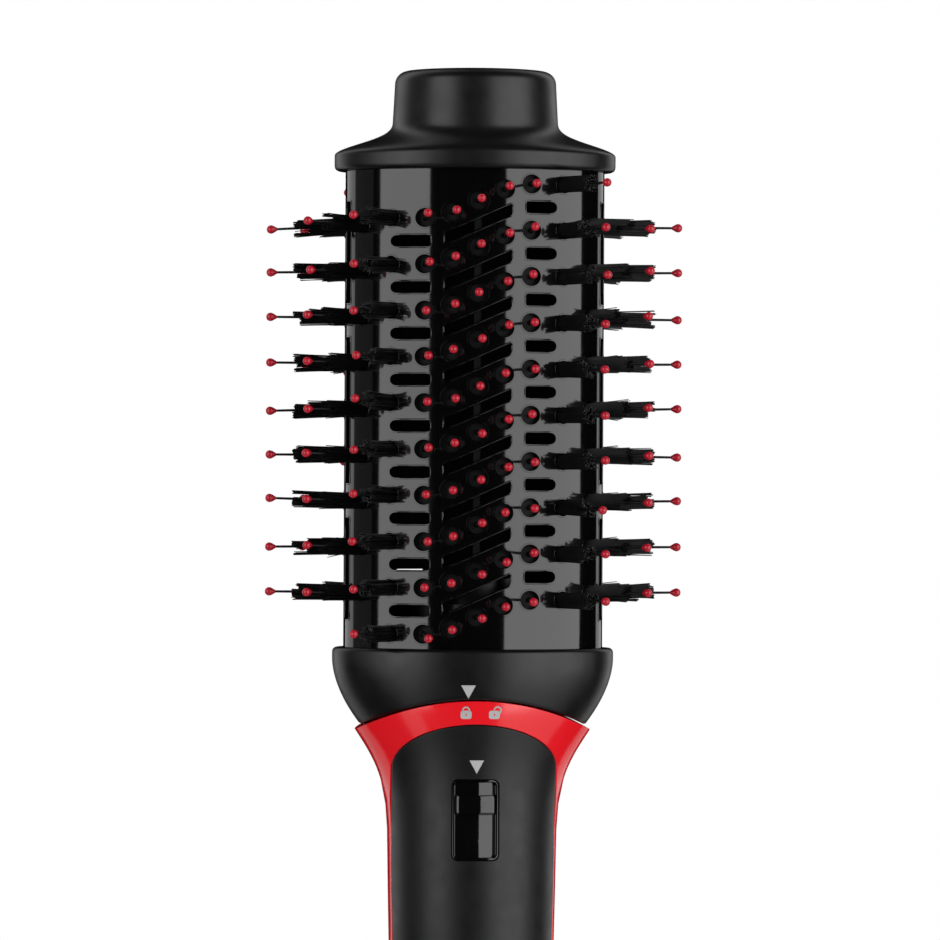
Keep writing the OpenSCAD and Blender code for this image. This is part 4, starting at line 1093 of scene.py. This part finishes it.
# ---- Printed marks ----
def collar_front(x, z):
    """Front of the collar's bowl at x and z: the oval of bowl_half, inverted to y by halving the angle."""
    a = bowl_half(COLLAR_TOP - z)
    b = bowl_deep(a)
    low, high = np.full_like(x, 45.0), np.full_like(x, 90.0)
    for _ in range(30):
        middle = (low + high) / 2
        beyond = oval(a, b, middle)[0] > np.abs(x)
        low, high = np.where(beyond, middle, low), np.where(beyond, high, middle)
    return -oval(a, b, low)[1]


def handle_front(x, z):
    """Front of the handle at x and z."""
    return -handle_point(z, angle_at(np.abs(x), z, 0))[..., 1]


INK, INK_DEPTH = 0.05, -0.08


def printed_patch(outer, inner, front, x, z):
    """A thin print between two outlines of equal count, laid on the front surface at x and z."""
    shares = ((0.0, INK_DEPTH), (0.0, INK), (0.33, INK), (0.66, INK), (1.0, INK), (1.0, INK_DEPTH))
    rings = []
    for share, lift in shares:
        flat = outer + (inner - outer) * share
        rings.append(stack(flat[:, 0] + x, front(flat[:, 0] + x, flat[:, 1] + z) - lift, flat[:, 1] + z))
    return np.stack(rings)


def sides_of(corners, steps=8):
    """A closed outline through corners, with points along its sides."""
    corners = np.array(corners, float)
    share = np.linspace(0, 1, steps + 1)[:-1, None]
    return np.concatenate([a + (b - a) * share for a, b in zip(corners, np.roll(corners, -1, 0))])


def triangle_mark(width, height):
    """A triangle that points down: its outline and its middle."""
    outline = sides_of([[-width / 2, height / 2], [0, -height / 2], [width / 2, height / 2]])
    return [(outline, np.zeros_like(outline) + [0, height / 6])]


def padlock_mark(is_open):
    """A padlock: a rounded body round a keyhole, and a shackle band, turned and moved aside when open."""
    v = np.linspace(0, ROUND, 41)[:-1]
    body = np.stack([1.28 * np.sign(cosd(v)) * np.abs(cosd(v)) ** 0.45,
                     0.98 * np.sign(sind(v)) * np.abs(sind(v)) ** 0.45 - 0.62], 1)
    keyhole = np.stack([0.14 * cosd(v), 0.34 * sind(v) - 0.6], 1)
    turn = np.linspace(0, 180, 20)
    def arch(radius, straight):
        """One edge of the shackle: a straight leg, a half round and the other leg."""
        return np.concatenate([[[radius, -straight]], np.stack([radius * cosd(turn), radius * sind(turn)], 1),
                               [[-radius, -straight]]])
    outer, inner = arch(0.95, 0.4), arch(0.6, 0.4)
    if is_open:
        lean = np.array([[cosd(-32), sind(-32)], [-sind(-32), cosd(-32)]])
        outer, inner = outer @ lean + [0.75, 0.1], inner @ lean + [0.75, 0.1]
    band = np.concatenate([outer, inner[::-1]])
    middle = np.concatenate([(outer + inner) / 2, ((outer + inner) / 2)[::-1]])
    return [(body, keyhole), (band + [0, 0.35], middle + [0, 0.35])]


POINTER = (3.4, 3.1)


def build_marks():
    """Printed marks: pointers on collar and grip, and a closed and an open padlock on the yoke."""
    marks = (("collar_pointer", "brush_head", "collar_mark", collar_front,
              [(triangle_mark(*POINTER), -1.9, 9.8, COLLAR_TOP)]),
             ("yoke_padlocks", "handle", "housing_marks", handle_front,
              [(padlock_mark(False), -2.4, 2.9, SEAM_CROWN), (padlock_mark(True), 4.2, 2.9, SEAM_CROWN)]),
             ("grip_pointer", "handle", "grip_mark", handle_front,
              [(triangle_mark(*POINTER), 0.2, 9.9, ARCH_TOP)]))
    for name, body, node, front, shapes in marks:
        grids = [printed_patch(outer, inner, front, x, top - drop)
                 for patches, x, drop, top in shapes for outer, inner in patches]
        points, quads = joined((grid, grid_quads(*grid.shape[:2], wrap_rows=True, wrap_columns=True))
                               for grid in grids)
        new_piece(name, points, quads, pad_ink, body, "print_grey", (node,), 30.0)


# ---- Stage ----
def aim(thing, target, roll=0.0):
    """Turns a camera or lamp so that it looks at a target, rolled about its own axis in degrees."""
    turn = (Vector(target) - thing.location).to_track_quat("-Z", "Y").to_matrix()
    thing.rotation_euler = (turn @ Matrix.Rotation(math.radians(roll), 3, "Z")).to_euler()


def round_the_object(azimuth, distance, height):
    """Place at an azimuth from the front, positive towards +X."""
    turn = math.radians(azimuth)
    return Vector((distance * math.sin(turn), -distance * math.cos(turn), height))


def soft_box(name, azimuth, half_angle, distance, low, high, radiance):
    """A tall rectangular lamp that spans half_angle to each side of an azimuth, as seen from the object."""
    lamp = bpy.data.lights.new(name, "AREA")
    lamp.shape = "RECTANGLE"
    lamp.size = 2 * distance * math.tan(math.radians(half_angle))
    lamp.size_y = high - low
    lamp.energy = radiance * math.pi * lamp.size * lamp.size_y
    made = add_object(name, lamp)
    middle = (low + high) / 2
    made.location = round_the_object(azimuth, distance, middle)
    aim(made, (0, 0, middle))


def dark_card(name, start, stop, profile, grey=0.0):
    """A curved black or grey card that only reflections see, which paints dark or grey reflections: a profile
    of distance d at d (sin v, -cos v).
    """
    v = np.linspace(start, stop, 24)[None, :]
    d, z = np.array(profile).T[:, :, None]
    points = stack(d * sind(v), -d * cosd(v), z)
    mesh = mesh_of(name, points, grid_quads(len(profile), 24).tolist(), 1.0)
    # Black or grey card colour: painted reflections of a dark studio.
    made, tree, _ = new_finish("reflection_only_shade_card")
    close_finish(tree, add_node(tree, "ShaderNodeBsdfDiffuse", {"Color": (grey, grey, grey, 1.0)}))
    mesh.materials.append(made)
    card = add_object(name, mesh)
    card.visible_camera = card.visible_diffuse = card.visible_shadow = False
    card.visible_transmission = card.visible_volume_scatter = False
    card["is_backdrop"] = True


def seen_straight(tree):
    """1 for rays from the camera, a mirror or glass, else 0: the largest of the three ray flags."""
    rays = add_node(tree, "ShaderNodeLightPath").outputs
    seen = rays["Is Camera Ray"]
    for kind in ("Is Glossy Ray", "Is Transmission Ray"):
        seen = add_node(tree, "ShaderNodeMath", {0: seen, 1: rays[kind]}, operation="MAXIMUM").outputs[0]
    return seen


FLOOR_Z, FLOOR_R = -0.0002, 2.4


def build_floor():
    """Pale round floor: matte paint near the brush, which fades into plain white further out."""
    v = np.linspace(0, ROUND, 97)[:-1][None, :]
    r = np.linspace(0.0, FLOOR_R, 9)[1:, None]
    points = np.concatenate([stack(r * cosd(v), r * sind(v), FLOOR_Z).reshape(-1, 3), [[0, 0, FLOOR_Z]]])
    hub = np.stack([np.arange(96), (np.arange(96) + 1) % 96, np.full(96, 8 * 96)], 1)
    quads = grid_quads(8, 96, wrap_columns=True)[:, ::-1]
    mesh = mesh_of("pale_floor", points, quads.tolist() + hub.tolist(), 1.0)
    made, tree, _ = new_finish("pale_matte_floor")
    paint = add_node(tree, "ShaderNodeBsdfDiffuse", {"Color": linear("#f0f0ee")})
    glow = add_node(tree, "ShaderNodeEmission", {"Color": (1, 1, 1, 1), "Strength": 1.0})
    place = add_node(tree, "ShaderNodeTexCoord").outputs["Object"]
    away = add_node(tree, "ShaderNodeVectorMath", {0: place}, operation="LENGTH").outputs["Value"]
    fade = add_node(tree, "ShaderNodeMapRange", {"Value": away, "From Min": 0.25, "From Max": 1.3},
                    interpolation_type="SMOOTHSTEP").outputs["Result"]
    share = add_node(tree, "ShaderNodeMath", {0: fade, 1: seen_straight(tree)}, operation="MULTIPLY")
    close_finish(tree, add_node(tree, "ShaderNodeMixShader", {0: share.outputs[0], 1: paint.outputs[0],
                                                              2: glow.outputs[0]}))
    mesh.materials.append(made)
    add_object("pale_floor", mesh)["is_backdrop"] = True


def build_lights():
    """Two tall soft boxes, the dark cards round them, which paint dark and grey reflections, and a world that
    is white where it is seen.
    """
    # Cards seen only in reflections: painted dark reflections, and a dimmer painted grey reflection on the
    # left.
    for name, start, stop, grey in (("left", -116.0, -74.0, 0.3), ("front", -74.0, 124.0, 0.0),
                                    ("back", 152.0, 208.0, 0.0)):
        dark_card("reflection_card_wall_" + name, start, stop, ((1.9, -0.1), (1.9, 2.6), (0.02, 2.6)), grey)
    for name, start, stop in (("left", -116.0, -58.0), ("front", -40.0, 20.0), ("right", 82.0, 124.0),
                              ("back", 152.0, 208.0)):
        dark_card("reflection_card_floor_" + name, start, stop, ((0.1, 0.004), (1.9, 0.004)))
    soft_box("left_soft_box", -49.5, 18.5, 1.0, -0.25, 0.95, 2.6)
    soft_box("right_soft_box", 50.5, 29.0, 1.0, -0.25, 0.95, 2.8)
    world = bpy.data.worlds.new("white_studio")
    world.use_nodes = True
    tree = world.node_tree
    tree.nodes.clear()
    fill, white = (add_node(tree, "ShaderNodeBackground", {"Color": (1, 1, 1, 1), "Strength": strength})
                   for strength in (0.35, 1.0))
    mixed = add_node(tree, "ShaderNodeMixShader", {0: seen_straight(tree), 1: fill.outputs[0],
                                                   2: white.outputs[0]})
    add_node(tree, "ShaderNodeOutputWorld", {"Surface": mixed.outputs[0]})
    bpy.context.scene.world = world


def build_camera():
    """Long lens a little left of the front, level with the lower head."""
    lens = bpy.data.cameras.new("camera")
    lens.sensor_width, lens.lens, lens.clip_end = 36.0, 244.0, 50.0
    camera = add_object("camera", lens)
    target = Vector((-0.00084, 0, 0.2763))
    camera.location = round_the_object(-2.5, 1.5, target.z) + Vector((target.x, 0, 0))
    aim(camera, target, 0.3)
    bpy.context.scene.camera = camera


# ---- Operators ----
class BuildCap(bpy.types.Operator):
    """Builds the tip cap"""

    bl_idname = "brush.build_cap"
    bl_label = "Tip cap"

    def execute(self, context):
        build_cap()
        return {"FINISHED"}


class BuildBarrel(bpy.types.Operator):
    """Builds the pierced barrel with its rolled hole edges"""

    bl_idname = "brush.build_barrel"
    bl_label = "Barrel"

    def execute(self, context):
        build_barrel()
        build_hole_edges()
        # Frame and pin plates: near-black nylon, painted shade inside the air holes.
        give(shade_darkened_nylon, "air_core", *(name + "_pin_plate" for name in LEAN_SEEDS))
        return {"FINISHED"}


class BuildPins(bpy.types.Operator):
    """Builds the pins with their ball tips"""

    bl_idname = "brush.build_pins"
    bl_label = "Pins"

    def execute(self, context):
        build_pins()
        return {"FINISHED"}


class BuildTufts(bpy.types.Operator):
    """Builds the bristle tufts"""

    bl_idname = "brush.build_tufts"
    bl_label = "Tufts"

    def execute(self, context):
        build_tufts()
        return {"FINISHED"}


class BuildCollar(bpy.types.Operator):
    """Builds the collar below the barrel"""

    bl_idname = "brush.build_collar"
    bl_label = "Collar"

    def execute(self, context):
        build_collar()
        return {"FINISHED"}


class BuildHandle(bpy.types.Operator):
    """Builds the red housing and the two soft grips"""

    bl_idname = "brush.build_handle"
    bl_label = "Handle"

    def execute(self, context):
        build_housing()
        build_grips()
        return {"FINISHED"}


class BuildRelease(bpy.types.Operator):
    """Builds the release slide in its tray"""

    bl_idname = "brush.build_release"
    bl_label = "Release slide"

    def execute(self, context):
        build_release()
        return {"FINISHED"}


class BuildMarks(bpy.types.Operator):
    """Builds the printed marks of collar, yoke and grip"""

    bl_idname = "brush.build_marks"
    bl_label = "Printed marks"

    def execute(self, context):
        build_marks()
        return {"FINISHED"}


class BuildFoot(bpy.types.Operator):
    """Dresses the dial, the base cap and the cord swivel"""

    bl_idname = "brush.build_foot"
    bl_label = "Dial and base"

    def execute(self, context):
        smooth_copy("setting_dial", satin_abs, "dial", "satin_black")
        smooth_copy("base_cap", satin_abs, "handle", "satin_black")
        smooth_copy("cord_swivel", satin_abs, "swivel", "satin_black")
        give(pad_ink, "dial_marks")
        return {"FINISHED"}


class DressInside(bpy.types.Operator):
    """Gives the inner pieces their finishes"""

    bl_idname = "brush.dress_inside"
    bl_label = "Inner pieces"

    def execute(self, context):
        give(satin_abs, "spigot", "outlet_grille", "bayonet_ring", "stator_vanes", "impeller")
        give(polished_abs, "release_pawl")
        give(rubber, "head_seal", "motor_mount")
        spring = smooth_copy("release_spring", plated_steel, "handle", "steel")
        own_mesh(spring)
        give(plated_steel, "head_screws", "base_screws", "heater_coil", "motor_case",
             "motor_magnets", "thermostat", "filter_mesh")
        give(bare_copper, "motor_rotor", "motor_bushes", "slip_rings")
        give(mica_sheet, "mica_tube", "mica_board_x", "mica_board_y")
        give(board_laminate, "circuit_board", "board_parts", "switch_track", "contact_block")
        give(white_ceramic, "thermal_fuse")
        return {"FINISHED"}


class BuildStage(bpy.types.Operator):
    """Builds the floor, the lamps, the world and the camera"""

    bl_idname = "brush.build_stage"
    bl_label = "Stage"

    def execute(self, context):
        build_floor()
        build_lights()
        build_camera()
        context.scene.view_settings.view_transform = "Standard"
        return {"FINISHED"}


STEPS = (BuildStage, BuildCap, BuildBarrel, BuildPins, BuildTufts, BuildCollar, BuildHandle,
         BuildRelease, BuildMarks, BuildFoot, DressInside)


class BrushPanel(bpy.types.Panel):
    """Sidebar panel that lists the building steps and sizes"""

    bl_idname = "VIEW3D_PT_styling_brush"
    bl_label = "Styling brush"
    bl_space_type = "VIEW_3D"
    bl_region_type = "UI"
    bl_category = "Styling brush"

    def draw(self, context):
        for group in (context.scene.brush_head, context.scene.brush_handle, context.scene.brush_colours):
            box = self.layout.box()
            for name in group.bl_rna.properties.keys():
                if name not in ("rna_type", "name"):
                    box.prop(group, name)
        for step in STEPS:
            self.layout.operator(step.bl_idname)


GROUPS = {"brush_head": HeadSizes, "brush_handle": HandleSizes, "brush_colours": BrushColours}


def register():
    """Registers the sizes, the operators and the panel."""
    for name, group in GROUPS.items():
        bpy.utils.register_class(group)
        setattr(bpy.types.Scene, name, bpy.props.PointerProperty(type=group))
    for kind in STEPS + (BrushPanel,):
        bpy.utils.register_class(kind)


def unregister():
    """Removes what register added."""
    for kind in reversed(STEPS + (BrushPanel,)):
        bpy.utils.unregister_class(kind)
    for name, group in GROUPS.items():
        delattr(bpy.types.Scene, name)
        bpy.utils.unregister_class(group)


def main():
    """Builds the brush and works out the size of the solid model and of the dressed one."""
    register()
    for step in STEPS:
        family, name = step.bl_idname.split(".")
        getattr(getattr(bpy.ops, family), name)()
    sizes = [[list(map(float, corner_point)) for corner_point in box] for box in (CAD_BOX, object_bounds())]


if __name__ == "__main__":
    main()
